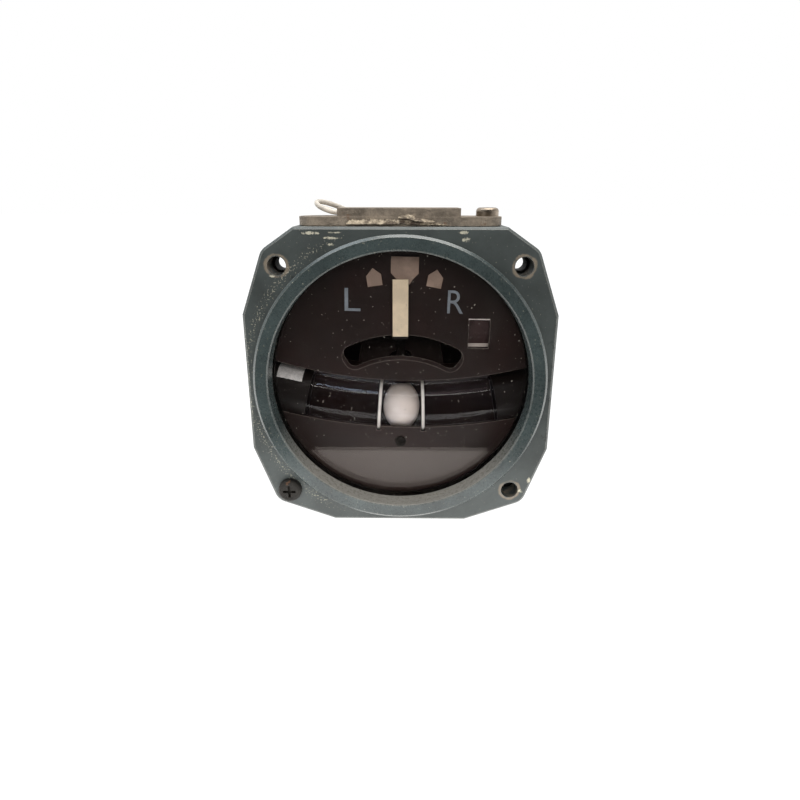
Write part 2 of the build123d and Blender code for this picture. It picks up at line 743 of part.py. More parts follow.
# Frame
def front_plate():
    plate = slab(Circle(front_plate_radius()), front_plate_y, plate_back)
    for angle in (0, 180):
        opening = fillet(sector(opening_inner, lug_inner - opening_margin, angle, 26).vertices(), 2)
        plate -= slab(opening, front_plate_y, plate_back)
    plate -= rod_y(bearing_radius + slip, front_plate_y, plate_back)
    plate -= rod_y(bush_radius + slip, front_plate_y, plate_back, 0, pivot_z)
    for angle in front_lug_angles:
        plate -= rod_y(1.5, front_plate_y, plate_back, *polar(lug_screw_radius, angle))
    return plate


def front_plate_radius():
    return bore_radius - plate_play


def frame_screws():
    """Screws of the front plate, of the needle's bridge and of the posts."""
    length = plate_thickness + front_lug_length - 0.5
    screws = [screw_y(1.9, lug_tap_radius - slip, front_plate_y, 1.2, length, *polar(lug_screw_radius, angle))
              for angle in front_lug_angles]
    length, shank = bridge_back - plate_back - 0.1, pillar_radius - lug_tap_radius - running
    screws += [screw_y(1.7, shank, bridge_back, 1.0, length, x, pillar_z, -1) for x in (-pillar_x, pillar_x)]
    length = plate_thickness + post_tap_depth - 2
    screws += [screw_y(2.3, post_screw_radius, rear_plate_back, 1.3, length, x, z, -1)
               for x, z in corners(post_place)]
    return group(screws)


def frame_posts():
    post = rod_y(post_radius, plate_back, rear_plate_y)
    post -= rod_y(post_screw_radius + slip, rear_plate_y - post_tap_depth, rear_plate_y)
    return group(Pos(x, 0, z) * post for x, z in corners(post_place))


def rear_plate():
    plate = slab(Circle(bore_radius - rear_plate_play), rear_plate_y, rear_plate_back)
    for angle in front_lug_angles:
        notch = sector(lug_inner - 0.5, case_radius, angle, lug_half + 1.5)
        plate -= slab(notch, rear_plate_y, rear_plate_back)
    for angle in (0, 180):
        opening = fillet(sector(opening_inner, lug_inner - opening_margin - 1, angle, 26).vertices(), 2)
        plate -= slab(opening, rear_plate_y, rear_plate_back)
    plate -= rod_y(bearing_radius + slip, rear_plate_y, rear_plate_back)
    for x, z in corners(post_place):
        plate -= rod_y(post_screw_radius + 0.1, rear_plate_y, rear_plate_back, x, z)
    plate += block(-bracket_half, bracket_half, crank_y - anchor_reach, rear_plate_y,
                   anchor_z, anchor_z + anchor_thickness)
    tray = capacitor_z - capacitor_radius
    plate += block(-bracket_half, bracket_half, capacitor_y[0], rear_plate_y, tray - tray_thickness, tray)
    return plate


def gimbal_bearings():
    ring = Circle(bearing_radius) - Circle(pivot_radius + running)
    return group(slab(ring, y, y + plate_thickness) for y in (front_plate_y, rear_plate_y))


# Gimbal
def gimbal_frame():
    outer = Rectangle(2 * gimbal_half_x, 2 * gimbal_half_y)
    inner = Rectangle(2 * gimbal_inside, 2 * (gimbal_half_y - gimbal_wall))
    loop = fillet(outer.vertices(), gimbal_rounds[0]) - fillet(inner.vertices(), gimbal_rounds[1])
    frame = Pos(0, gimbal_y, -gimbal_half_z) * extrude(loop, amount=2 * gimbal_half_z)
    frame -= rod_x(bearing_radius + slip, -gimbal_half_x, gimbal_half_x, gimbal_y)
    return frame - rod_y(pivot_radius + slip, gimbal_front, gimbal_back)


def gimbal_pivots():
    return group([
        rod_y(pivot_radius, front_plate_y - pivot_end, gimbal_front + gimbal_wall),
        rod_y(pivot_radius, gimbal_back - gimbal_wall, rear_plate_back + pivot_end)])


def gimbal_gear():
    outline = gear_sector(gimbal_teeth, 7, 270, 4.5, pivot_radius + slip)
    return slab(outline, gear_y, gear_y + gear_thickness)


def damper_crank():
    crank = rod_y(crank_hub, crank_y, crank_back) + rod_y(crank_half, crank_y, crank_back, damper_arm)
    crank += block(0, damper_arm, crank_y, crank_back, -crank_half, crank_half)
    crank += block(-horn_half, horn_half, crank_y, crank_back, 0, horn_top)
    crank += rod_y(crank_pin_radius, crank_back, damper_y + yoke_half[1] + pivot_end, damper_arm)
    return crank - rod_y(pivot_radius + slip, crank_y, crank_back)


def rotor_bearings():
    ring = rod_x(bearing_radius, 0, gimbal_wall) - rod_x(rotor_shaft_radius + running, 0, gimbal_wall)
    return group(Pos(x, gimbal_y, 0) * ring for x in (-gimbal_half_x, gimbal_inside))


def field_magnet():
    face = -rotor_web - magnet_face
    magnet = rod_x(magnet_radius, -gimbal_inside, face, gimbal_y)
    return magnet - rod_x(magnet_radius * magnet_bore_share, -gimbal_inside, face, gimbal_y)


def brush_holders():
    front = commutator_end - brush_setback
    brush = commutator_radius + running
    holder, back = brush + brush_length, rotor_radius * holder_share
    holders = []
    for side in (-1, 1):
        y0, y1 = sorted((gimbal_y + side * holder, gimbal_y + side * back))
        body = block(front, gimbal_inside, y0, y1, -holder_half, holder_half)
        y0, y1 = sorted((gimbal_y + side * brush, gimbal_y + side * holder))
        holders.append(body + block(front, front + brush_size, y0, y1, -brush_size / 2, brush_size / 2))
    return group(holders)


# Rotor
def rotor_rim():
    rim = rod_x(rotor_radius, -rotor_half, rotor_half, gimbal_y)
    rim -= rod_x(rim_inner, -rotor_half, -rotor_web, gimbal_y)
    rim -= rod_x(rim_inner, rotor_web, rotor_half, gimbal_y)
    return rim - rod_x(rotor_shaft_radius + slip, -rotor_half, rotor_half, gimbal_y)


def rotor_shaft():
    end = gimbal_half_x - 0.3
    return rod_x(rotor_shaft_radius, -end, end, gimbal_y)


def commutator():
    """A sleeve whose outer half is cut into bars."""
    end = commutator_end
    sleeve = rod_x(commutator_radius, rotor_web, end, gimbal_y)
    depth = commutator_radius / 2
    for bar in range(commutator_bars):
        gap = block(rotor_half, end, -bar_gap / 2, bar_gap / 2, depth, commutator_radius + 1)
        sleeve -= Pos(0, gimbal_y, 0) * Rot(360 * (bar + 0.5) / commutator_bars, 0, 0) * gap
    return sleeve - rod_x(rotor_shaft_radius + slip, rotor_web, end, gimbal_y)


# Damper and centring spring
def damper_cylinder():
    low, high = damper_z
    cylinder = rod_z(damper_radius, low, high, damper_arm, damper_y)
    left, right = damper_arm - damper_pad, damper_arm + damper_pad
    cylinder += block(left, right, damper_y, rear_plate_y, low + 2, high - 2)
    cylinder -= rod_z(damper_radius - damper_wall, low + damper_cap, high - damper_cap, damper_arm, damper_y)
    return cylinder - rod_z(piston_rod_radius + 0.1, high - damper_cap, high, damper_arm, damper_y)


def damper_piston():
    middle = sum(damper_z) / 2 - piston_drop
    half_x, half_y, half_z = yoke_half
    piston_radius = damper_radius - damper_wall - piston_play
    piston = rod_z(piston_radius, middle - piston_half, middle + piston_half, damper_arm, damper_y)
    piston += rod_z(piston_rod_radius, middle + piston_half, -half_z, damper_arm, damper_y)
    y0, y1 = damper_y - half_y, damper_y + half_y
    yoke = block(damper_arm - half_x, damper_arm + half_x, y0, y1, -half_z, half_z)
    pin = crank_pin_radius + running
    slot = block(damper_arm - yoke_slot[0], damper_arm + yoke_slot[1], y0, y1, -pin, pin)
    return piston + yoke - slot


def centring_spring():
    low, high = horn_top + spring_wire, anchor_z - spring_wire
    coil = Helix(pitch=(high - low) / spring_turns, height=high - low, radius=spring_radius)
    spring = sweep(Plane(coil @ 0, z_dir=coil % 0) * Circle(spring_wire), path=coil)
    return Pos(0, crank_y + crank_thickness / 2, low) * spring


# Warning flag
def warning_flag():
    x0, x1 = flag_x
    vane = block(x0, x1, flag_y, flag_y + flag_thickness, *flag_z)
    for x in (x0, x1 - flag_thickness):
        vane += block(x, x + flag_thickness, flag_y, flag_staff_y, flag_staff_z - 2.6, flag_staff_z - 0.4)
    vane += rod_x(flag_hub_radius, x0, x1, flag_staff_y, flag_staff_z)
    return vane - rod_x(flag_staff_radius + slip, x0, x1, flag_staff_y, flag_staff_z)


def flag_staff():
    return rod_x(flag_staff_radius, motor_x[0] + 0.5, flag_ear_x[1] + flag_ear_thickness + pivot_end,
                 flag_staff_y, flag_staff_z)


def flag_bracket():
    x0, x1 = flag_ear_x[0], flag_ear_x[1] + flag_ear_thickness
    low, high = flag_staff_z - flag_ear_radius, flag_staff_z + flag_ear_radius
    bracket = block(x0, x1, front_plate_y - flag_ear_thickness, front_plate_y, low, high + 0.6)
    for x in flag_ear_x:
        bracket += block(x, x + flag_ear_thickness, flag_staff_y, front_plate_y, low, high)
        bracket += rod_x(flag_ear_radius, x, x + flag_ear_thickness, flag_staff_y, flag_staff_z)
    return bracket - rod_x(flag_staff_radius + running, x0, x1, flag_staff_y, flag_staff_z)


def flag_motor():
    motor = rod_x(motor_radius, *motor_x, flag_staff_y, flag_staff_z)
    motor += rod_x(2 * flag_staff_radius, motor_x[1], flag_ear_x[0], flag_staff_y, flag_staff_z)
    return motor - rod_x(flag_staff_radius + running, motor_x[0], flag_ear_x[0], flag_staff_y, flag_staff_z)


# Filter capacitor
def filter_capacitor():
    y0, y1 = capacitor_y
    radius, length = capacitor_lead
    return rod_y(capacitor_radius, y0, y1, 0, capacitor_z) + rod_y(radius, y1, y1 + length, 0, capacitor_z)


# Rear cover and power receptacle
def rear_gasket():
    ring = Circle(case_radius - 0.4) - Circle(case_radius - 0.4 - gasket_width)
    for angle in rear_lug_angles:
        ring -= Pos(*polar(lug_screw_radius, angle)) * Circle(cover_hole)
    return slab(ring, case_length, cover_front)


def rear_cover():
    cover = rod_y(case_radius, cover_front, cover_back)
    cover = chamfer(cover.faces().sort_by(Axis.Y)[-1].edges(), cover_chamfer)
    for angle in rear_lug_angles:
        cover -= rod_y(cover_hole, cover_front, cover_back, *polar(lug_screw_radius, angle))
    return cover - rod_y(receptacle_radius - receptacle_wall, cover_front, cover_back)


def rear_screws():
    length = cover_thickness + gasket_thickness + rear_lug_length - 0.4
    return group(
        screw_y(2.6, lug_tap_radius - running, cover_back, 1.8, length, *polar(lug_screw_radius, angle), -1)
        for angle in rear_lug_angles)


def receptacle_shell():
    plate = RectangleRounded(receptacle_flange, receptacle_flange, 2.5)
    for x, z in corners(receptacle_pitch / 2):
        plate -= Pos(x, z) * Circle(receptacle_screw[1] + 0.1)
    end = cover_back + receptacle_plate + receptacle_length
    shell = slab(plate, cover_back, cover_back + receptacle_plate) + rod_y(receptacle_radius, cover_back, end)
    return shell - rod_y(receptacle_radius - receptacle_wall, cover_back, end)


def receptacle_insert():
    front, back = cover_back - socket_inset, cover_back + socket_reach
    insert = rod_y(receptacle_radius - receptacle_wall - slip, front, back)
    for x, z in contact_places():
        insert -= rod_y(contact_radius + slip, front, back, x, z)
    return insert


def contact_places():
    return [polar(contact_circle, angle) for angle in (90, 210, 330)]


def contact_pins():
    return group(rod_y(contact_radius, cover_back - contact_tail, cover_back + contact_reach, x, z)
                 for x, z in contact_places())


def receptacle_screws():
    seat = cover_back + receptacle_plate
    head, shank, height = receptacle_screw
    places = corners(receptacle_pitch / 2)
    return group(screw_y(head, shank, seat, height, receptacle_plate, x, z, -1) for x, z in places)


# Lamp fitting
def lamp_outline(inset):
    """The plate's outline with its screw holes and the lamp's slot, in X and Y."""
    middle = sum(lamp_plate_x) / 2
    width, depth = lamp_plate_x[1] - lamp_plate_x[0], lamp_plate_y[1] - lamp_plate_y[0]
    outline = RectangleRounded(width - 2 * inset, depth - 2 * inset, lamp_plate_round - inset)
    for x in (-lamp_screw_x, lamp_screw_x):
        outline -= Pos(x - middle, 0) * Circle(lamp_screw_hole)
    slot = Rectangle(2 * lamp_slot_half[0] + 1, 2 * lamp_slot_half[1] + 2)
    return Pos(middle, lamp_middle_y) * (outline - Pos(-middle, lamp_y - lamp_middle_y) * slot)


def lamp_gasket():
    return Pos(0, 0, top_flat_z) * extrude(lamp_outline(lamp_gasket_inset), amount=lamp_gasket_thickness)


def lamp_plate():
    return Pos(0, 0, lamp_plate_z) * extrude(lamp_outline(0), amount=lamp_plate_thickness)


def lamp_housing():
    (x0, x1), (y0, y1), wall = lamp_housing_x, lamp_housing_y, lamp_housing_wall
    housing = block(x0, x1, y0, y1, housing_z, housing_top)
    housing = fillet(housing.edges().filter_by(Axis.Z), lamp_housing_round)
    housing -= block(x0 + wall, x1 - wall, y0 + wall, y1 - wall, housing_z, housing_top - wall)
    for route in (lead_a_route, lead_b_route):
        housing -= rod_x(lead_radius + slip, x0, x0 + wall, route[0][1], housing_z + lead_rise)
    return housing


def lamp_bulb():
    middle, end = lamp_plate_z + bulb_radius + 0.3, bulb_x[0]
    return rod_x(bulb_radius, *bulb_x, lamp_y, middle) + Pos(end, lamp_y, middle) * Sphere(bulb_radius)


def lamp_socket():
    half = bulb_radius + 0.5
    return block(*socket_x, lamp_y - half, lamp_y + half, top_flat_z + 0.3, housing_top - lamp_housing_wall)


def lamp_screw():
    shank = housing_z - top_flat_z + lamp_tap_depth - 0.5
    screw = screw_y(lamp_screw_head, lug_tap_radius - running, 0, 2.2, shank, 0, 0)
    return Pos(lamp_screw_x, lamp_middle_y, housing_z) * Rot(-90, 0, 0) * screw


def lead_path(name, route):
    """Straight runs joined by arcs, each as large as its two runs allow."""
    radii = []
    for before, here, after in zip(route, route[1:], route[2:]):
        first, second = Vector(*here) - Vector(*before), Vector(*after) - Vector(*here)
        turn = radians(first.get_angle(second))
        radii.append(0.45 * min(first.length, second.length) / tan(turn / 2))
    print(name, "bend radii", [round(radius, 1) for radius in radii])
    return FilletPolyline(*route, radius=radii)


def lamp_lead(name, route):
    path = lead_path(name, route)
    lead = sweep(Plane(path @ 0, z_dir=path % 0) * Circle(lead_radius), path=path)
    ratio = lead.volume / (pi * lead_radius**2 * path.length)
    print(name, "length", round(path.length, 1), "volume against section times length", round(ratio, 4))
    return lead


def lead_fittings():
    """A grommet for each lead in the case wall, and the terminal strip on the front plate."""
    strip = block(*strip_x, front_plate_y - strip_depth, front_plate_y, strip_top - strip_height, strip_top)
    rings = []
    for route in (lead_a_route, lead_b_route):
        x, y, z = route[-1]
        low, high = sqrt(bore_radius**2 - x**2) - 0.4, sqrt(case_radius**2 - x**2) + 0.5
        ring = rod_z(lead_radius + grommet_wall - slip, low, high, x, y)
        rings.append(ring - rod_z(lead_radius + slip, low, high, x, y))
        strip -= rod_z(lead_radius + slip, strip_top - strip_height, strip_top, x, y)
    return group([strip, *rings])


# Screw left in the lower left mounting hole
def panel_screw():
    radius, height = panel_screw_head
    return screw_y(radius, thread_radius - running, 0, height, boss_back + panel_screw_reach, -hole, -hole)


nodes = [
    case_body, mount_inserts, bezel_ring, glass_seal, cover_glass, glass_snap_ring,
    dial_plate, index_marks, dial_standoffs, tube_clip, dial_screw,
    inclinometer_tube, ball, marker_wires, tube_end_caps,
    needle, needle_staff, needle_gear, needle_bushes, needle_bridge,
    front_plate, frame_screws, frame_posts, rear_plate, gimbal_bearings,
    gimbal_frame, gimbal_pivots, gimbal_gear, damper_crank, rotor_bearings, field_magnet, brush_holders,
    rotor_rim, rotor_shaft, commutator, damper_cylinder, damper_piston, centring_spring,
    warning_flag, flag_staff, flag_bracket, flag_motor, filter_capacitor,
    rear_gasket, rear_cover, rear_screws,
    receptacle_shell, receptacle_insert, contact_pins, receptacle_screws,
    lamp_gasket, lamp_plate, lamp_housing, lamp_bulb, lamp_socket, lamp_screw, lead_fittings, panel_screw]

os.makedirs("parts", exist_ok=True)
for make in nodes:
    export_step(make(), f"parts/{make.__name__}.step")
for name, route in (("lamp_lead_a", lead_a_route), ("lamp_lead_b", lead_b_route)):
    export_step(lamp_lead(name, route), f"parts/{name}.step")
print("nodes", len(nodes) + 2)
print("ball at", [round(value, 3) for value in ball_centre()])
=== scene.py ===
"""Finishes, lettering, torn seal, liquid, leads and studio for the turn and bank indicator."""
import math

import bpy
from mathutils import Matrix, Vector, noise


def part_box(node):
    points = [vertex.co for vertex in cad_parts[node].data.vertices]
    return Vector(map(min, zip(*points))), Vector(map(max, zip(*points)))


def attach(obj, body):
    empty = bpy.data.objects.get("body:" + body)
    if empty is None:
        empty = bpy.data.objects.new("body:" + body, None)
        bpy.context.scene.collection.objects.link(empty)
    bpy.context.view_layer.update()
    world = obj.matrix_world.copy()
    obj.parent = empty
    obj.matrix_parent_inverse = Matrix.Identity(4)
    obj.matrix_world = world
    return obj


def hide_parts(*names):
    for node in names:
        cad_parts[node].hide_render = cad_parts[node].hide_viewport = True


bl_info = {
    "name": "Turn and bank indicator",
    "version": (1, 0, 0),
    "blender": (4, 5, 0),
    "location": "View3D > Sidebar > Indicator",
    "description": "Gives the packed turn and bank indicator its finishes, lettering, leads and studio",
    "category": "Object",
}

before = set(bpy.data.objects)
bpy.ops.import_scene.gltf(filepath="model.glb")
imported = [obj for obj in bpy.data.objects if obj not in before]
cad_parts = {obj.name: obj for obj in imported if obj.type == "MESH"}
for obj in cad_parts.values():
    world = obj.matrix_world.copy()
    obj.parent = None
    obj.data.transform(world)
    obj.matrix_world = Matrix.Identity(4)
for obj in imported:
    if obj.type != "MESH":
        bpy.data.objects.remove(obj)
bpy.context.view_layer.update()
MM = 0.001

# Where the photograph was taken from
EYE = (1.457 * MM, -152.638 * MM, 47.902 * MM)
TARGET = (-0.009 * MM, 0.0, -4.344 * MM)
CAMERA_ROLL = math.radians(0.12)
CAMERA_LENS = 36.0 * 591.6 / 800

# The dial sits a little to the right and turned clockwise in its case
DIAL_SHIFT = 0.5 * MM
DIAL_TURN = math.radians(1.2)

# The tube's bend, in the dial's own axes
TUBE_BEND = 141.5 * MM
TUBE_PIVOT_Z = 131.3 * MM
TUBE_Y = 12.6 * MM
TUBE_END = math.radians(12.2)
TUBE_SIDES = 96
TUBE_STEPS = 64

# The routes of the lamp leads, in millimetres, as in the part's source
LEAD_A = (
    (-15.2, 8.0, 44.2), (-16.9, 8.0, 44.2), (-19.2, 8.2, 44.8), (-21.3, 9.1, 45.7), (-22.3, 11.0, 46.6),
    (-21.6, 13.1, 46.9), (-19.6, 14.9, 46.5), (-17.5, 17.0, 45.7), (-15.5, 19.3, 44.8), (-13.6, 21.0, 43.6),
    (-12.4, 22.1, 41.6), (-12.2, 22.3, 38.9), (-12.2, 22.3, 27.5))
LEAD_B = (
    (-15.2, 10.2, 44.2), (-16.9, 10.2, 44.2), (-18.8, 10.4, 44.7), (-20.5, 12.0, 45.2), (-20.5, 14.5, 45.1),
    (-18.9, 16.3, 44.5), (-16.6, 17.8, 43.8), (-14.2, 19.3, 43.1), (-11.6, 20.8, 42.6), (-9.5, 21.9, 41.6),
    (-8.6, 22.3, 39.9), (-8.6, 22.3, 27.5))

# Chipped paint on the flange's front, each as x, z and half sizes in metres
FLANGE_CHIPS = (
    (-0.0224, 0.0395, 0.0036, 0.0007), (-0.0163, 0.0396, 0.0028, 0.0004), (-0.0173, 0.0383, 0.0038, 0.0005),
    (-0.0176, 0.0367, 0.0016, 0.0006), (0.0157, 0.0397, 0.0020, 0.0008), (0.0164, 0.0379, 0.0019, 0.0009),
    (-0.0327, 0.0289, 0.0012, 0.0005), (0.0368, -0.0283, 0.0010, 0.0016), (0.0345, -0.0318, 0.0012, 0.0008))
MOUNTING_HOLE = 31.431 * MM

# The bare rim round a mounting hole and the band of specks round the ring, each as radius and half width
HOLE_RIM = (2.8 * MM, 0.9 * MM)
SPECK_BAND = (41.4 * MM, 2.4 * MM)

# Where the specks on the left and the nicks on the right begin, and over how much of X they grow
SPECKS_FROM = (12 * MM, 10 * MM)
NICKS_FROM = (37 * MM, 4 * MM)

# Radius of the ring's opening, and where below the axis its paint begins to be paler, as wear and as painted
# light on the lower wall
RING_OPENING = 35.5 * MM
LIT_WORN_FROM = (12 * MM, 14 * MM)

# Where the silver foil lies on the left end cap, painted near white as the cap's highlight: its middle in x
# and z, and its half width and half height
FOIL_HIGHLIGHT = (-31.2 * MM, 1.72 * MM, 3.6 * MM, 2.6 * MM)

# Where a highlight is painted along the upper edge of the flag window: its middle in x and z, and its half
# sizes
WINDOW_HIGHLIGHT = (21.5 * MM, 16.5 * MM, 2.9 * MM, 0.2 * MM)

# The needle's foot is black below this height, where it turns back into the slot
NEEDLE_FOOT = 11.9 * MM

# The needle is painted no further back than this much before the dial
BLADE_GAP = 0.45 * MM

# Each torn flake of the seal is a grid of this many cells along it and across it
FLAKE_CELLS = (90, 8)

# Torn flakes of the seal in front of the lamp plate, in millimetres: the upper edge and the lower edge as
# x and z, how far the flake bulges forward, and how ragged it is
FLAKES = (
    ("seal_flake_left",
     ((-13.6, 41.9), (-12.1, 42.7), (-10.4, 42.4), (-7.9, 43.1), (-5.8, 42.6), (-3.9, 42.8), (-0.9, 42.5),
      (0.6, 42.9)),
     ((-13.6, 41.5), (-8.0, 41.7), (-3.0, 41.6), (0.6, 41.8)), 0.9, 0.34),
    ("seal_flake_right",
     ((-0.6, 43.3), (0.6, 43.9), (2.4, 43.8), (4.2, 43.3), (6.4, 42.8), (8.6, 42.3)),
     ((-0.6, 43.1), (1.6, 42.9), (3.6, 42.5), (6.0, 42.1), (8.6, 42.0)), 1.0, 0.10),
    ("seal_flake_under",
     ((0.4, 42.5), (3.0, 42.5), (6.0, 42.3), (9.0, 41.9), (11.4, 41.6)),
     ((0.4, 41.7), (4.0, 41.5), (8.0, 41.5), (11.4, 41.4)), 0.6, 0.3))


def srgb(*colour):
    """A colour as it is seen, in 0 to 255, as the linear values that Blender takes."""
    return tuple((c / 255) ** 2.2 for c in colour) + (1,)


def colour_property(name, description, *value):
    return bpy.props.FloatVectorProperty(
        name=name, description=description, subtype="COLOR", size=4, min=0, max=1, default=srgb(*value))


def length_property(name, description, value):
    return bpy.props.FloatProperty(
        name=name, description=description, default=value, unit="LENGTH", precision=5)


class IndicatorColours(bpy.types.PropertyGroup):
    case: colour_property("Case", "Enamel of the case and its flange", 68, 74, 73)
    ring: colour_property("Ring", "Enamel of the bezel ring", 62, 71, 71)
    primer: colour_property("Primer", "Primer that shows where the enamel is chipped", 196, 192, 172)
    bare: colour_property("Bare metal", "Bare metal on worn edges", 150, 150, 144)
    dial: colour_property("Dial", "Matt black of the dial", 36, 27, 25)
    works: colour_property("Works", "Black finish of what lies behind the dial", 26, 22, 21)
    needle: colour_property("Needle", "Aged cream paint of the needle", 236, 216, 186)
    marks: colour_property("Marks", "Aged paint of the index marks", 158, 136, 122)
    letters: colour_property("Letters", "Printed letters", 136, 143, 151)
    ball: colour_property("Ball", "Glazed ball of the inclinometer", 232, 218, 206)
    wire: colour_property("Wires", "Painted marker wires", 240, 234, 228)
    # The foil colour is near white: the foil, and a painted highlight on the left end cap
    foil_highlight: colour_property("Foil", "Silver foil on the left end cap", 250, 246, 243)
    lamp: colour_property("Lamp fitting", "Weathered coating of the lamp plate and housing", 148, 136, 121)
    seal: colour_property("Torn seal", "Torn fibre seal under the lamp plate", 178, 164, 142)
    lead: colour_property("Leads", "Insulation of the lamp leads", 214, 206, 194)
    flag: colour_property("Flag", "Dark face of the warning flag", 58, 42, 42)
    bar: colour_property("Flag bar", "Pale bar across the foot of the flag window", 196, 184, 176)


class IndicatorSizes(bpy.types.PropertyGroup):
    letter_height: length_property("Letter height", "Height of the letters L and R", 6.2 * MM)
    letter_width: length_property("Letter width", "Width of the letters L and R", 4.3 * MM)
    letter_depth: length_property("Letter depth", "Thickness of the printed letters", 0.06 * MM)
    letter_gap: length_property("Letter place", "From the dial's middle to each letter", 13.9 * MM)
    letter_base: length_property("Letter base", "Height of the letters' feet above the axis", 18.45 * MM)
    tube_radius: length_property("Tube radius", "Outer radius of the inclinometer tube", 6.5 * MM)
    lead_diameter: length_property("Lead diameter", "Diameter over the insulation of a lamp lead", 1.3 * MM)
    floor_size: length_property("Floor size", "Side of the studio floor", 6.0)
    flag_bar: length_property("Flag bar", "Height of the pale bar in the flag window", 0.95 * MM)
    flag_bar_width: length_property("Flag bar width", "Width of the pale bar in the flag window", 6.0 * MM)
    seal_thickness: length_property("Seal thickness", "Thickness of the torn seal's flakes", 0.28 * MM)


class Socket:
    """An output of a finish's nodes. Arithmetic on it adds Math nodes."""

    def __init__(self, finish, output):
        self.finish = finish
        self.output = output

    def math(self, operation, first, second=0.0):
        return self.finish.node("ShaderNodeMath", {"operation": operation}, {0: first, 1: second})

    def __add__(self, other):
        return self.math("ADD", self, other)

    def __sub__(self, other):
        return self.math("SUBTRACT", self, other)

    def __rsub__(self, other):
        return self.math("SUBTRACT", other, self)

    def __mul__(self, other):
        return self.math("MULTIPLY", self, other)

    def __truediv__(self, other):
        return self.math("DIVIDE", self, other)

    def __pow__(self, other):
        return self.math("POWER", self, other)

    def __gt__(self, other):
        return self.math("GREATER_THAN", self, other)

    def __abs__(self):
        return self.math("ABSOLUTE", self)

    def larger(self, other):
        return self.math("MAXIMUM", self, other)

    def clamped(self):
        return self.finish.node("ShaderNodeClamp", {}, {0: self})

    __radd__ = __add__
    __rmul__ = __mul__


class Finish:
    """A material made of nodes."""

    def __init__(self, name):
        self.material = bpy.data.materials.new(name)
        self.material.use_nodes = True
        self.tree = self.material.node_tree
        self.tree.nodes.clear()
        self.out = self.tree.nodes.new("ShaderNodeOutputMaterial")

    def node(self, kind, settings=None, inputs=None, output=0):
        node = self.tree.nodes.new(kind)
        for key, value in (settings or {}).items():
            setattr(node, key, value)
        for key, value in (inputs or {}).items():
            if isinstance(value, Socket):
                self.tree.links.new(value.output, node.inputs[key])
            else:
                node.inputs[key].default_value = value
        return Socket(self, node.outputs[output])

    def place(self):
        return self.node("ShaderNodeTexCoord", output="Object")

    def stretched(self, scale):
        return self.node("ShaderNodeMapping", {}, {"Vector": self.place(), "Scale": scale})

    def noise(self, scale, detail=3.0, roughness=0.55, vector=None):
        inputs = {"Vector": vector or self.place(), "Scale": scale, "Detail": detail, "Roughness": roughness}
        return self.node("ShaderNodeTexNoise", {}, inputs, "Fac")

    def over(self, source, threshold, softness):
        """0 below a threshold and 1 above it, over a soft step."""
        return ((source - threshold) / softness).clamped()

    def axes(self):
        """X, Y and Z of the place on the object, in metres."""
        return [self.node("ShaderNodeSeparateXYZ", {}, {0: self.place()}, axis) for axis in range(3)]

    def mix(self, factor, first, second):
        settings = {"data_type": "RGBA", "clamp_factor": True}
        return self.node("ShaderNodeMix", settings, {0: factor, 6: first, 7: second}, 2)

    def edges(self, radius, strength):
        """How near a point is to an edge, from the normal of a small bevel."""
        bevel = self.node("ShaderNodeBevel", {"samples": 4}, {"Radius": radius})
        normal = self.node("ShaderNodeNewGeometry", output="Normal")
        settings = {"operation": "DOT_PRODUCT"}
        straight = self.node("ShaderNodeVectorMath", settings, {0: bevel, 1: normal}, "Value")
        return ((1 - straight) * strength).clamped()

    def bump(self, height, distance, strength=1.0):
        return self.node("ShaderNodeBump", {}, {"Height": height, "Distance": distance, "Strength": strength})

    def surface(self, **values):
        """A Principled surface; the names are its sockets with underscores for spaces."""
        inputs = {key.replace("_", " "): value for key, value in values.items()}
        return self.node("ShaderNodeBsdfPrincipled", {}, inputs)

    def finished(self, shader):
        self.tree.links.new(shader.output, self.out.inputs["Surface"])
        return self.material


def shade(colour, factor):
    """The same colour, darker or lighter."""
    return tuple(min(1.0, c * factor) for c in colour[:3]) + (1,)


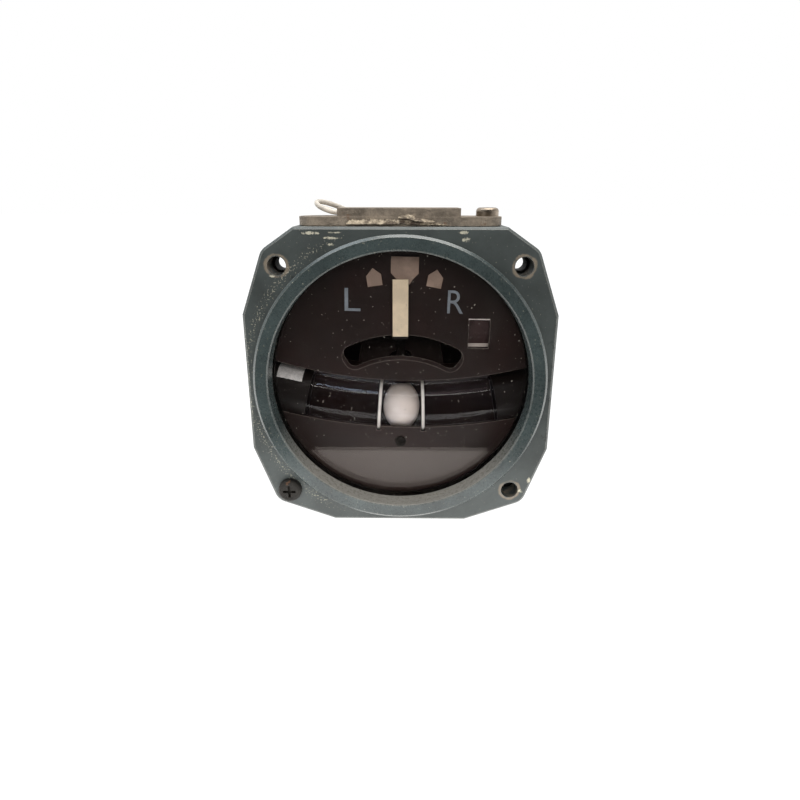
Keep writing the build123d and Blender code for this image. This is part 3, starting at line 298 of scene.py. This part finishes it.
def enamel(name, colour, primer, bare, roughness=0.5, wear=0.55, front=False, lit_worn_bore=False):
    """Old enamel: stained, scuffed, speckled and rubbed on its edges. front adds the flange's own damage, and
    lit_worn_bore the paler paint low in the ring's opening, worn paint and painted light together."""
    finish = Finish(name)
    cloud = finish.noise(60, 5, 0.6)
    grain = finish.noise(900, 6, 0.7)
    speck = finish.noise(2300, 2, 0.5)
    scuff = finish.noise(300, 5, 0.65)
    base = finish.mix(finish.over(cloud, 0.34, 0.32), shade(colour, 0.62), shade(colour, 1.12))
    base = finish.mix(finish.over(scuff, 0.56, 0.12) * 0.5, base, shade(colour, 0.55))
    base = finish.mix(finish.over(grain, 0.6, 0.14) * 0.4, base, shade(colour, 1.5))
    edge = finish.edges(0.3 * MM, 9.0)
    rubbed = finish.over(edge * 0.9 + grain * 0.7 + cloud * 0.25, 1.3 - wear * 0.55, 0.12)
    base = finish.mix(rubbed * 0.7, base, bare)
    pale = finish.over(speck, 0.71, 0.03)
    chipped = finish.over(grain, 0.88, 0.05)
    if front:
        x, _, z = finish.axes()
        flakes = finish.noise(1000, 6, 0.8)
        for cx, cz, rx, rz in FLANGE_CHIPS:
            dx, dz = (x - cx) / rx, (z - cz) / rz
            inside = (1 - dx * dx - dz * dz).clamped()
            chipped = chipped.larger(finish.over(inside * 0.34 + flakes, 0.74, 0.05))
        hx, hz = abs(x) - MOUNTING_HOLE, abs(z) - MOUNTING_HOLE
        rim = (1 - abs((hx * hx + hz * hz) ** 0.5 - HOLE_RIM[0]) / HOLE_RIM[1]).clamped()
        base = finish.mix(finish.over(rim * 0.5 + scuff, 0.74, 0.2) * 0.75, base, srgb(132, 120, 104))
        band = (1 - abs((x * x + z * z) ** 0.5 - SPECK_BAND[0]) / SPECK_BAND[1]).clamped()
        band = band * (((0 - x) - SPECKS_FROM[0]) / SPECKS_FROM[1]).clamped()
        pale = pale.larger(finish.over(speck + band * 0.13, 0.7, 0.03))
        nicked = finish.over(scuff + ((x - NICKS_FROM[0]) / NICKS_FROM[1]).clamped() * 0.13, 0.68, 0.04)
        base = finish.mix(nicked * 0.75, base, shade(colour, 0.28))
    # Paler paint low in the ring's opening: wear, and painted light where the overhead lamp falls on the
    # lower wall
    if lit_worn_bore:
        x, _, z = finish.axes()
        low = (((0 - z) - LIT_WORN_FROM[0]) / LIT_WORN_FROM[1]).clamped()
        base = finish.mix((RING_OPENING - (x * x + z * z) ** 0.5 > 0) * low, base, srgb(126, 124, 118))
    base = finish.mix(pale * 0.5, base, primer)
    base = finish.mix(chipped * 0.85, base, primer)
    height = grain * 0.5 + cloud * 0.3 - chipped * 0.9 - rubbed * 0.4
    return finish.finished(finish.surface(
        Base_Color=base, IOR=1.6, Roughness=(roughness + chipped * 0.25 + (grain - 0.5) * 0.25).clamped(),
        Metallic=(rubbed * 0.3).clamped(), Normal=finish.bump(height, 0.05 * MM, 0.7)))


def worn_coating(name, colour):
    """Coarse, weathered coating of the lamp fitting, with dirty stains, streaks and brown patches, and pale
    on its edges.
    """
    finish = Finish(name)
    cloud = finish.noise(170, 6, 0.7)
    grain = finish.noise(1500, 6, 0.7)
    streak = finish.noise(260, 4, 0.6, finish.stretched((1, 1, 4)))
    base = finish.mix(finish.over(cloud, 0.36, 0.26), shade(colour, 0.42), colour)
    base = finish.mix(finish.over(streak, 0.58, 0.08) * 0.6, base, shade(colour, 0.35))
    base = finish.mix(finish.over(grain, 0.55, 0.2) * 0.5, base, shade(colour, 1.35))
    base = finish.mix(finish.over(finish.noise(420, 4), 0.62, 0.08) * 0.6, base, srgb(104, 74, 52))
    edge = finish.edges(0.3 * MM, 8.0)
    base = finish.mix(finish.over(edge * 0.7 + grain, 1.0, 0.2) * 0.5, base, shade(colour, 1.35))
    return finish.finished(finish.surface(
        Base_Color=base, Roughness=(0.55 + grain * 0.3).clamped(), Metallic=0.15,
        Normal=finish.bump(grain + cloud * 1.5, 0.2 * MM)))


def metal(name, colour, roughness=0.32, spread=0.2, turned=1.0):
    """Machined metal with fine tool marks and a little dirt. turned stretches the marks along Y."""
    finish = Finish(name)
    marks = finish.noise(1400, 3, 0.6, finish.stretched((1, 1 / turned, 1)))
    dirt = finish.noise(230, 5, 0.6)
    base = finish.mix(finish.over(dirt, 0.55, 0.25) * 0.6, colour, shade(colour, 0.55))
    return finish.finished(finish.surface(
        Base_Color=base, Metallic=1.0, Roughness=(roughness + (marks - 0.5) * spread + dirt * 0.1).clamped(),
        Normal=finish.bump(marks, 0.01 * MM)))


def painted(name, colour, age=0.35, roughness=0.6, metallic=0.0):
    """Flat paint, moulding or rubber with age stains and a fine grain."""
    finish = Finish(name)
    stain = finish.noise(260, 5, 0.6)
    grain = finish.noise(2400, 3, 0.6)
    dark = shade(colour, 1 - age)
    base = finish.mix(finish.over(stain, 0.42, 0.25), dark, colour)
    base = finish.mix(finish.over(grain, 0.6, 0.15) * age * 0.6, base, dark)
    return finish.finished(finish.surface(
        Base_Color=base, Roughness=(roughness + (stain - 0.5) * 0.2).clamped(), Metallic=metallic,
        Normal=finish.bump(grain, 0.02 * MM, 0.6)))


def needle_paint(name, colour, works):
    """Cream paint on the blade, with its foot, the stem and the arm behind it left black."""
    finish = Finish(name)
    stain = finish.noise(260, 5, 0.6)
    grain = finish.noise(2400, 3, 0.6)
    base = finish.mix(finish.over(stain, 0.4, 0.3), shade(colour, 0.82), colour)
    base = finish.mix(finish.over(grain, 0.66, 0.08) * 0.4, base, shade(colour, 0.55))
    _, y, z = finish.axes()
    behind = (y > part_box("dial_plate")[0].y - BLADE_GAP).larger(NEEDLE_FOOT - z > 0)
    base = finish.mix(behind, base, works)
    return finish.finished(finish.surface(
        Base_Color=base, Roughness=(0.5 + stain * 0.2).clamped(), Normal=finish.bump(grain, 0.02 * MM, 0.6)))


def dial_black(name, colour):
    """Matt black moulding, brown with age, with dust on it, its edges lightened as a painted highlight, and a
    painted highlight along the top of the flag window.
    """
    finish = Finish(name)
    cloud = finish.noise(60, 4)
    grain = finish.noise(1900, 4, 0.6)
    dust = finish.over(finish.noise(1150, 2, 0.4), 0.73, 0.02)
    warm = tuple(c * f for c, f in zip(colour[:3], (1.2, 0.9, 0.86))) + (1,)
    base = finish.mix(finish.over(cloud, 0.4, 0.25), colour, warm)
    base = finish.mix(dust * 0.5, base, srgb(170, 160, 150))
    # The dial's edges are painted lighter: a painted highlight where edges catch the light
    rim = finish.over(finish.edges(0.25 * MM, 7.0), 0.2, 0.4)
    base = finish.mix(rim * 0.85, base, srgb(130, 121, 114))
    # A painted highlight along the upper edge of the flag window
    x, _, z = finish.axes()
    line_x, line_z, half_width, half_height = WINDOW_HIGHLIGHT
    window_highlight = (half_width - abs(x - line_x) > 0) * (half_height - abs(z - line_z) > 0)
    base = finish.mix(window_highlight * (0.4 + grain), base, srgb(222, 210, 206))
    return finish.finished(finish.surface(
        Base_Color=base, Roughness=(0.45 + grain * 0.15).clamped(),
        Normal=finish.bump(grain, 0.015 * MM, 0.6)))


def cap_finish(name, works, foil_highlight):
    """Dark moulding of the tube's end caps, with a piece of silver foil on the left one that is painted near
    white as a painted highlight.
    """
    finish = Finish(name)
    grain = finish.noise(1500, 4, 0.6)
    x, _, z = finish.axes()
    foil_x, foil_z, half_width, half_height = FOIL_HIGHLIGHT
    along = (x - foil_x) - (z - foil_z) * 0.11
    across = (z - foil_z) + (x - foil_x) * 0.227
    edge = (grain - 0.5) * 0.25 * MM
    inside = (half_width - abs(along) - edge > 0) * (half_height - abs(across) - edge > 0)
    base = finish.mix(finish.over(grain, 0.5, 0.2) * 0.5, works, shade(works, 1.8))
    # The foil patch is painted bright: foil and a painted highlight together
    silver_highlight = finish.mix(finish.over(finish.noise(700, 4, 0.6), 0.45, 0.2), shade(foil_highlight, 0.75), foil_highlight)
    return finish.finished(finish.surface(
        Base_Color=finish.mix(inside, base, silver_highlight), Roughness=(0.4 + inside * 0.1 + grain * 0.1).clamped(),
        Metallic=(inside * 0.25).clamped(), Normal=finish.bump(grain, 0.05 * MM)))


def cover_glass(name):
    """A clear pane that mirrors what is before it, with a few specks of dust."""
    finish = Finish(name)
    clear = finish.node("ShaderNodeBsdfTransparent", {}, {"Color": (0.97, 0.97, 0.97, 1)})
    mirror = finish.node("ShaderNodeBsdfGlossy", {}, {"Color": (1.0, 0.9, 0.84, 1), "Roughness": 0.0})
    # A Fresnel node would turn the back of the pane into a full mirror when seen from the side
    aside = finish.node("ShaderNodeLayerWeight", {}, {"Blend": 0.5}, "Facing")
    pane = finish.node("ShaderNodeMixShader", {}, {0: aside ** 5 * 0.97 + 0.023, 1: clear, 2: mirror})
    speck = finish.over(finish.noise(1500, 1.5, 0.3), 0.775, 0.015)
    smear = finish.over(finish.noise(90, 3, 0.5, finish.stretched((1, 1, 0.5))), 0.6, 0.2)
    dust = finish.node("ShaderNodeBsdfDiffuse", {}, {"Color": srgb(190, 185, 175)})
    return finish.finished(finish.node(
        "ShaderNodeMixShader", {}, {0: (speck * 0.6 + smear * 0.008).clamped(), 1: pane, 2: dust}))


def liquid_glass(name):
    """The tube full of liquid, which bends light as one solid rod does and lets it in."""
    finish = Finish(name)
    rod = finish.node(
        "ShaderNodeBsdfGlass", {}, {"Color": (0.97, 0.97, 0.98, 1), "Roughness": 0.0, "IOR": 1.36})
    clear = finish.node("ShaderNodeBsdfTransparent", {}, {"Color": (0.9, 0.9, 0.9, 1)})
    shadow = finish.node("ShaderNodeLightPath", output="Is Shadow Ray")
    return finish.finished(finish.node("ShaderNodeMixShader", {}, {0: shadow, 1: rod, 2: clear}))


def fibre(name, colour):
    """Torn fibre sheet, crumbling and dirty."""
    finish = Finish(name)
    cloud = finish.noise(380, 6, 0.7)
    grain = finish.noise(2600, 4, 0.7)
    dark = srgb(84, 74, 64)
    base = finish.mix(finish.over(cloud, 0.42, 0.16), dark, colour)
    base = finish.mix(finish.over(grain, 0.55, 0.15) * 0.35, base, srgb(190, 182, 168))
    return finish.finished(finish.surface(
        Base_Color=base, Roughness=0.9, Normal=finish.bump(grain + cloud, 0.2 * MM)))


def clean_selection():
    """Leaves nothing selected and no piece open for editing."""
    if bpy.context.object and bpy.context.object.mode != "OBJECT":
        bpy.ops.object.mode_set(mode="OBJECT")
    bpy.ops.object.select_all(action="DESELECT")


def named(name):
    """Names the piece that was just added."""
    piece = bpy.context.object
    piece.name = name
    piece.data.name = name
    return piece


def settle(piece, smooth=True):
    """Puts a piece's place into its mesh and shades it."""
    clean_selection()
    piece.select_set(True)
    bpy.context.view_layer.objects.active = piece
    bpy.ops.object.transform_apply(location=True, rotation=True, scale=True)
    if smooth:
        bpy.ops.object.shade_smooth_by_angle(angle=math.radians(35))
    return piece


def dress(piece, material, body):
    piece.data.materials.clear()
    piece.data.materials.append(material)
    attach(piece, body)
    return piece


def finish_nodes(material, *names):
    """Gives CAD nodes a finish."""
    for name in names:
        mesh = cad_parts[name].data
        mesh.materials.clear()
        mesh.materials.append(material)


def height_at(line, x):
    """The height of a line of x and z points at x."""
    for (x0, z0), (x1, z1) in zip(line, line[1:]):
        if x <= x1 or (x1, z1) == line[-1]:
            return z0 + (z1 - z0) * (x - x0) / (x1 - x0)


def dial_matrix():
    """From the dial's own axes to the case's."""
    return Matrix.Translation((DIAL_SHIFT, 0, 0)) @ Matrix.Rotation(DIAL_TURN, 4, "Y")


class PieceOperator:
    bl_options = {"REGISTER", "UNDO"}

    def execute(self, context):
        self.make(context.scene.indicator_sizes, context.scene.indicator_colours)
        return {"FINISHED"}


class INDICATOR_OT_stage(PieceOperator, bpy.types.Operator):
    """Add the camera, the pale floor, the lamps, and the dark cards and bright patches before the glass"""
    bl_idname = "indicator.stage"
    bl_label = "Stage"

    def make(self, sizes, colours):
        self.camera()
        self.world()
        self.floor(sizes)
        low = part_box("case_body")[0].z
        self.light("overhead_right", (0.12, -0.03, 0.62), (0.50, 0.48), 4.4, (1.0, 0.98, 0.95))
        self.light("overhead_left", (-0.38, -0.05, 0.62), (0.40, 0.44), 2.0, (0.86, 0.93, 1.0))
        self.light(
            "front_fill", (0.0, -1.1, 0.50), (1.2, 0.5), 9.0, (1.0, 0.97, 0.94), math.radians(65), False)
        self.card("dark_floor_card", (0.0, -1.0422, low + 0.0004), (2.6, 2.0), 0.0, True)
        self.patch("window_patch", (-0.09, -0.15, low + 0.0008), (0.16, 0.19), (0.66, 0.80, 1.0), 7.0)
        self.patch("wall_patch", (0.09, -0.15, low + 0.0008), (0.16, 0.19), (1.0, 0.76, 0.82), 1.2)
        self.card("dark_wall_card", (0.0, -2.0, 0.45), (2.6, 1.0), math.radians(90))
        self.card("dark_ceiling_card", (0.0, -1.0, 0.72), (3.0, 2.2), 0.0)

    def camera(self):
        clean_selection()
        bpy.ops.object.camera_add(location=EYE)
        camera = named("photo_camera")
        facing = (Vector(TARGET) - Vector(EYE)).to_track_quat("-Z", "Y").to_matrix().to_4x4()
        camera.matrix_world = Matrix.Translation(EYE) @ facing @ Matrix.Rotation(CAMERA_ROLL, 4, "Z")
        camera.data.lens = CAMERA_LENS
        camera.data.sensor_width = 36.0
        camera.data.clip_start = 0.005
        bpy.context.scene.camera = camera

    def world(self):
        world = bpy.data.worlds.new("studio")
        world.use_nodes = True
        bpy.context.scene.world = world
        tree = world.node_tree
        tree.nodes.clear()
        rays = tree.nodes.new("ShaderNodeLightPath")
        shown = tree.nodes.new("ShaderNodeMath")
        shown.operation = "MAXIMUM"
        glossy = tree.nodes.new("ShaderNodeMath")
        glossy.operation = "MAXIMUM"
        tree.links.new(rays.outputs["Is Glossy Ray"], glossy.inputs[0])
        tree.links.new(rays.outputs["Is Transmission Ray"], glossy.inputs[1])
        tree.links.new(rays.outputs["Is Camera Ray"], shown.inputs[0])
        tree.links.new(glossy.outputs[0], shown.inputs[1])
        lit = tree.nodes.new("ShaderNodeBackground")
        lit.inputs["Color"].default_value = (0.92, 0.96, 1.0, 1)
        lit.inputs["Strength"].default_value = 0.3
        white = tree.nodes.new("ShaderNodeBackground")
        white.inputs["Color"].default_value = (1, 1, 1, 1)
        white.inputs["Strength"].default_value = 1.0
        mix = tree.nodes.new("ShaderNodeMixShader")
        tree.links.new(shown.outputs[0], mix.inputs[0])
        tree.links.new(lit.outputs[0], mix.inputs[1])
        tree.links.new(white.outputs[0], mix.inputs[2])
        out = tree.nodes.new("ShaderNodeOutputWorld")
        tree.links.new(mix.outputs[0], out.inputs["Surface"])

    def floor(self, sizes):
        clean_selection()
        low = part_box("case_body")[0].z
        bpy.ops.mesh.primitive_plane_add(size=sizes.floor_size, location=(0, 0, low - 0.0001))
        floor = named("studio_floor")
        finish = Finish("floor_white")
        matt = finish.node("ShaderNodeBsdfDiffuse", {}, {"Color": (0.82, 0.82, 0.82, 1)})
        white = finish.node("ShaderNodeEmission", {}, {"Color": (1, 1, 1, 1), "Strength": 1.2})
        seen = finish.node("ShaderNodeLightPath", output="Is Camera Ray")
        bright = finish.node("ShaderNodeEmission", {}, {"Color": (1.0, 0.98, 0.96, 1), "Strength": 3.6})
        lit = finish.node("ShaderNodeMixShader", {}, {0: 0.45, 1: matt, 2: bright})
        shown = finish.node("ShaderNodeMixShader", {}, {0: 0.86, 1: matt, 2: white})
        floor.data.materials.append(finish.finished(
            finish.node("ShaderNodeMixShader", {}, {0: seen, 1: lit, 2: shown})))

    def light(self, name, place, size, power, colour, tilt=0.0, mirrored=True):
        """A soft lamp. Metal and glass show it only where it is mirrored."""
        clean_selection()
        bpy.ops.object.light_add(type="AREA", location=place)
        lamp = named(name)
        lamp.data.shape = "RECTANGLE"
        lamp.data.size, lamp.data.size_y = size
        lamp.data.energy = power
        lamp.data.color = colour
        lamp.rotation_euler = (tilt, 0, 0)
        lamp.visible_glossy = lamp.visible_transmission = mirrored

    def card(self, name, place, size, tilt, shades=False):
        """A black card that the camera doesn't see, and that shades what it is near only where asked."""
        clean_selection()
        bpy.ops.mesh.primitive_plane_add(size=1.0, location=place, rotation=(tilt, 0, 0))
        card = named(name)
        card.scale = (size[0], size[1], 1)
        finish = Finish(name + "_black")
        card.data.materials.append(finish.finished(
            finish.node("ShaderNodeBsdfDiffuse", {}, {"Color": (0.012, 0.011, 0.011, 1)})))
        settle(card, smooth=False)
        card.visible_camera = False
        card.visible_diffuse = shades
        card.visible_shadow = False
        card.visible_volume_scatter = False

    def patch(self, name, place, size, colour, strength):
        """A bright patch that only the back of the liquid tube mirrors."""
        clean_selection()
        bpy.ops.mesh.primitive_plane_add(size=1.0, location=place)
        patch = named(name)
        patch.scale = (size[0], size[1], 1)
        finish = Finish(name + "_glow")
        patch.data.materials.append(finish.finished(
            finish.node("ShaderNodeEmission", {}, {"Color": (*colour, 1), "Strength": strength})))
        settle(patch, smooth=False)
        patch.visible_camera = patch.visible_diffuse = patch.visible_glossy = False
        patch.visible_shadow = patch.visible_volume_scatter = False


class INDICATOR_OT_lamp_leads(PieceOperator, bpy.types.Operator):
    """Add the two leads that loop from the lamp housing into the case"""
    bl_idname = "indicator.lamp_leads"
    bl_label = "Lamp leads"

    def make(self, sizes, colours):
        material = painted("lead_insulation", tuple(colours.lead), 0.3, 0.55)
        for name, route, length in (("lamp_lead_a", LEAD_A, 0.0391), ("lamp_lead_b", LEAD_B, 0.0362)):
            curve = bpy.data.curves.new(name + "_wire", "CURVE")
            curve.dimensions = "3D"
            curve.bevel_depth = sizes.lead_diameter / 2
            curve.bevel_resolution = 6
            curve.resolution_u = 8
            curve.use_fill_caps = True
            spline = curve.splines.new("NURBS")
            spline.points.add(len(route) - 1)
            for point, place in zip(spline.points, route):
                point.co = [c * MM for c in place] + [1]
            spline.order_u = 3
            spline.use_endpoint_u = True
            wire = bpy.data.objects.new(name + "_wire", curve)
            bpy.context.scene.collection.objects.link(wire)
            curve.materials.append(material)
            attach(wire, "case")
            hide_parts(name)


class INDICATOR_OT_case_finish(PieceOperator, bpy.types.Operator):
    """Paint the case, the bezel ring, the rear cover and the screws outside"""
    bl_idname = "indicator.case_finish"
    bl_label = "Case finish"

    def make(self, sizes, colours):
        case, ring = tuple(colours.case), tuple(colours.ring)
        primer, bare = tuple(colours.primer), tuple(colours.bare)
        finish_nodes(enamel("case_enamel", case, primer, bare, 0.55, 0.75, True), "case_body")
        finish_nodes(enamel("cover_enamel", case, primer, bare, 0.55), "rear_cover")
        finish_nodes(enamel("ring_enamel", ring, primer, bare, 0.28, 0.45, lit_worn_bore=True), "bezel_ring")
        finish_nodes(worn_coating("lamp_coating", tuple(colours.lamp)), "lamp_plate", "lamp_housing")
        finish_nodes(metal("old_screw", srgb(150, 138, 124), 0.34), "lamp_screw")
        finish_nodes(worn_coating("corroded_screw", srgb(42, 39, 35)), "panel_screw")
        finish_nodes(metal("black_steel", srgb(48, 46, 44), 0.45, 0.3), "glass_snap_ring", "dial_screw")
        # The inserts are painted near black: painted shade inside the mounting holes
        finish_nodes(painted("insert_painted_shade", srgb(20, 19, 18), 0.3, 0.7), "mount_inserts")
        finish_nodes(metal("plated_steel", srgb(176, 176, 172), 0.3), "rear_screws", "receptacle_screws")
        finish_nodes(metal("shell_alloy", srgb(150, 152, 150), 0.36, 0.2, 8.0), "receptacle_shell")
        finish_nodes(painted("black_rubber", srgb(30, 30, 30), 0.3, 0.7), "glass_seal", "rear_gasket",
                     "receptacle_insert", "lead_fittings", "lamp_socket")
        finish_nodes(metal("contact_brass", srgb(196, 164, 96), 0.25), "contact_pins")
        finish_nodes(fibre("fibre_seal", tuple(colours.seal)), "lamp_gasket")


class INDICATOR_OT_dial_finish(PieceOperator, bpy.types.Operator):
    """Finish the dial, its marks, the needle, the flag and the cover glass"""
    bl_idname = "indicator.dial_finish"
    bl_label = "Dial finish"

    def make(self, sizes, colours):
        works = tuple(colours.works)
        finish_nodes(dial_black("dial_black", tuple(colours.dial)), "dial_plate")
        finish_nodes(painted("mark_paint", tuple(colours.marks), 0.25), "index_marks")
        finish_nodes(needle_paint("needle_paint", tuple(colours.needle), works), "needle")
        finish_nodes(painted("wire_paint", tuple(colours.wire), 0.2, 0.4), "marker_wires")
        finish_nodes(painted("ball_glaze", tuple(colours.ball), 0.06, 0.35), "ball")
        finish_nodes(cap_finish("cap_moulding", works, tuple(colours.foil_highlight)), "tube_end_caps")
        finish_nodes(painted("flag_paint", tuple(colours.flag), 0.3), "warning_flag")
        finish_nodes(painted("works_black", shade(works, 4.0), 0.3, 0.6), "front_plate", "dial_standoffs",
                     "flag_bracket")
        finish_nodes(cover_glass("cover_pane"), "cover_glass", "lamp_bulb")


class INDICATOR_OT_works_finish(PieceOperator, bpy.types.Operator):
    """Finish the gyroscope, the gears and the frame inside the case"""
    bl_idname = "indicator.works_finish"
    bl_label = "Works finish"

    def make(self, sizes, colours):
        finish_nodes(metal("frame_alloy", srgb(178, 180, 180), 0.38, 0.25), "rear_plate", "frame_posts",
                     "needle_bridge", "gimbal_frame", "damper_cylinder", "damper_piston", "filter_capacitor")
        finish_nodes(metal("works_brass", srgb(190, 156, 90), 0.28), "needle_gear", "gimbal_gear",
                     "damper_crank", "needle_bushes", "tube_clip")
        finish_nodes(metal("copper_bars", srgb(184, 112, 78), 0.3, 0.25, 6.0), "commutator")
        finish_nodes(metal("works_steel", srgb(168, 168, 166), 0.24), "rotor_rim", "rotor_shaft",
                     "rotor_bearings", "gimbal_bearings", "gimbal_pivots", "needle_staff", "frame_screws",
                     "centring_spring", "flag_staff")
        finish_nodes(painted("magnet_iron", srgb(60, 58, 58), 0.4, 0.5, 0.6), "field_magnet")
        finish_nodes(painted("brown_moulding", srgb(70, 44, 30), 0.3, 0.45), "brush_holders", "flag_motor")


class INDICATOR_OT_liquid_tube(PieceOperator, bpy.types.Operator):
    """Model the inclinometer's tube with its liquid as one clear curved rod"""
    bl_idname = "indicator.liquid_tube"
    bl_label = "Liquid tube"

    def make(self, sizes, colours):
        clean_selection()
        start = Matrix.Rotation(TUBE_END, 4, "Y") @ Vector((0, 0, -TUBE_BEND))
        bpy.ops.mesh.primitive_circle_add(
            vertices=TUBE_SIDES, radius=sizes.tube_radius, fill_type="NOTHING",
            location=(start.x, TUBE_Y, TUBE_PIVOT_Z + start.z), rotation=(0, math.pi / 2 + TUBE_END, 0))
        tube = named("liquid_tube")
        bpy.ops.object.transform_apply(location=True, rotation=True, scale=True)
        bpy.ops.object.mode_set(mode="EDIT")
        bpy.ops.mesh.select_all(action="SELECT")
        bpy.ops.mesh.spin(
            steps=TUBE_STEPS, angle=2 * TUBE_END, center=(0, TUBE_Y, TUBE_PIVOT_Z), axis=(0, 1, 0))
        bpy.ops.mesh.select_all(action="DESELECT")
        bpy.ops.mesh.select_mode(type="EDGE")
        bpy.ops.mesh.select_non_manifold()
        bpy.ops.mesh.edge_face_add()
        bpy.ops.mesh.select_all(action="SELECT")
        bpy.ops.mesh.normals_make_consistent(inside=False)
        bpy.ops.object.mode_set(mode="OBJECT")
        tube.matrix_world = dial_matrix()
        settle(tube)
        dress(tube, liquid_glass("tube_liquid"), "case")
        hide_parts("inclinometer_tube")


class INDICATOR_OT_letters(PieceOperator, bpy.types.Operator):
    """Print the letters L and R on the dial"""
    bl_idname = "indicator.letters"
    bl_label = "Letters"

    def make(self, sizes, colours):
        material = painted("letter_ink", tuple(colours.letters), 0.3, 0.6)
        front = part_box("dial_plate")[0].y
        for letter, side in (("L", -1), ("R", 1)):
            clean_selection()
            bpy.ops.object.text_add()
            text = named("letter_" + letter)
            text.data.body = letter
            text.data.extrude = sizes.letter_depth / 2
            text.data.offset = -0.004
            text.data.align_x = "CENTER"
            bpy.ops.object.convert(target="MESH")
            text = bpy.context.object
            low = Vector([min(v.co[i] for v in text.data.vertices) for i in range(3)])
            high = Vector([max(v.co[i] for v in text.data.vertices) for i in range(3)])
            size = high - low
            scale = Matrix.Diagonal((sizes.letter_width / size.x, sizes.letter_height / size.y, 1, 1))
            centre = Matrix.Translation((-(low.x + high.x) / 2, -low.y, 0))
            upright = Matrix.Rotation(math.pi / 2, 4, "X")
            foot = (side * sizes.letter_gap, front - sizes.letter_depth / 2, sizes.letter_base)
            text.matrix_world = dial_matrix() @ Matrix.Translation(foot) @ upright @ scale @ centre
            settle(text, smooth=False)
            dress(text, material, "case")


class INDICATOR_OT_flag_bar(PieceOperator, bpy.types.Operator):
    """Add the pale bar across the foot of the flag window"""
    bl_idname = "indicator.flag_bar"
    bl_label = "Flag bar"

    def make(self, sizes, colours):
        clean_selection()
        low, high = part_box("warning_flag")
        bpy.ops.mesh.primitive_cube_add(
            size=1, location=((low.x + high.x) / 2, low.y - 0.08 * MM, low.z + 0.7 * MM))
        bar = named("flag_bar")
        bar.scale = (sizes.flag_bar_width, 0.12 * MM, sizes.flag_bar)
        settle(bar, smooth=False)
        bpy.ops.object.mode_set(mode="EDIT")
        bpy.ops.mesh.select_all(action="SELECT")
        bpy.ops.mesh.bevel(offset=0.03 * MM, segments=2)
        bpy.ops.object.mode_set(mode="OBJECT")
        dress(bar, painted("bar_paint", tuple(colours.bar), 0.2), "flag")


class INDICATOR_OT_torn_seal(PieceOperator, bpy.types.Operator):
    """Add the torn flakes of the fibre seal that stand out from under the lamp plate"""
    bl_idname = "indicator.torn_seal"
    bl_label = "Torn seal"

    def make(self, sizes, colours):
        material = fibre("torn_fibre", tuple(colours.seal))
        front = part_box("lamp_plate")[0].y
        for number, (name, upper, lower, bulge, ragged) in enumerate(FLAKES):
            clean_selection()
            bpy.ops.mesh.primitive_grid_add(
                x_subdivisions=FLAKE_CELLS[0], y_subdivisions=FLAKE_CELLS[1], size=1, location=(0, 0, 0))
            flake = named(name)
            for vertex in flake.data.vertices:
                along, up = vertex.co.x + 0.5, vertex.co.y + 0.5
                x = upper[0][0] + (upper[-1][0] - upper[0][0]) * along
                tear = noise.fractal(Vector((x * 2.3, number * 7.0, 0.0)), 0.6, 2.0, 5) * ragged
                top, foot = height_at(upper, x) + tear, height_at(lower, x) - tear * 0.4
                crease = noise.fractal(Vector((x * 1.1, up * 1.7, number * 5.0)), 0.8, 2.0, 4) * 0.22
                y = -0.15 - bulge * (1 - up) * (0.45 + 0.55 * math.sin(math.pi * along)) + crease
                vertex.co = (x * MM, front + y * MM, (foot + (top - foot) * up) * MM)
            solid = flake.modifiers.new("thickness", "SOLIDIFY")
            solid.thickness = sizes.seal_thickness
            bpy.ops.object.modifier_apply(modifier=solid.name)
            bpy.ops.object.mode_set(mode="EDIT")
            bpy.ops.mesh.select_all(action="SELECT")
            bpy.ops.mesh.normals_make_consistent(inside=False)
            bpy.ops.object.mode_set(mode="OBJECT")
            settle(flake)
            dress(flake, material, "case")


PIECES = (
    INDICATOR_OT_stage, INDICATOR_OT_lamp_leads, INDICATOR_OT_case_finish, INDICATOR_OT_dial_finish,
    INDICATOR_OT_works_finish, INDICATOR_OT_liquid_tube, INDICATOR_OT_letters, INDICATOR_OT_flag_bar,
    INDICATOR_OT_torn_seal)


class INDICATOR_PT_pieces(bpy.types.Panel):
    bl_label = "Turn and bank indicator"
    bl_idname = "INDICATOR_PT_pieces"
    bl_space_type = "VIEW_3D"
    bl_region_type = "UI"
    bl_category = "Indicator"

    def draw(self, context):
        for piece in PIECES:
            self.layout.operator(piece.bl_idname)
        for group in (context.scene.indicator_sizes, context.scene.indicator_colours):
            box = self.layout.box()
            for name in group.__annotations__:
                box.prop(group, name)


CLASSES = (IndicatorColours, IndicatorSizes, *PIECES, INDICATOR_PT_pieces)


def register():
    for cls in CLASSES:
        bpy.utils.register_class(cls)
    bpy.types.Scene.indicator_sizes = bpy.props.PointerProperty(type=IndicatorSizes)
    bpy.types.Scene.indicator_colours = bpy.props.PointerProperty(type=IndicatorColours)


def unregister():
    del bpy.types.Scene.indicator_colours
    del bpy.types.Scene.indicator_sizes
    for cls in reversed(CLASSES):
        bpy.utils.unregister_class(cls)


def main():
    register()
    bpy.context.scene.view_settings.view_transform = "Standard"
    for piece in PIECES:
        group, name = piece.bl_idname.split(".")
        getattr(getattr(bpy.ops, group), name)()


if __name__ == "__main__":
    main()
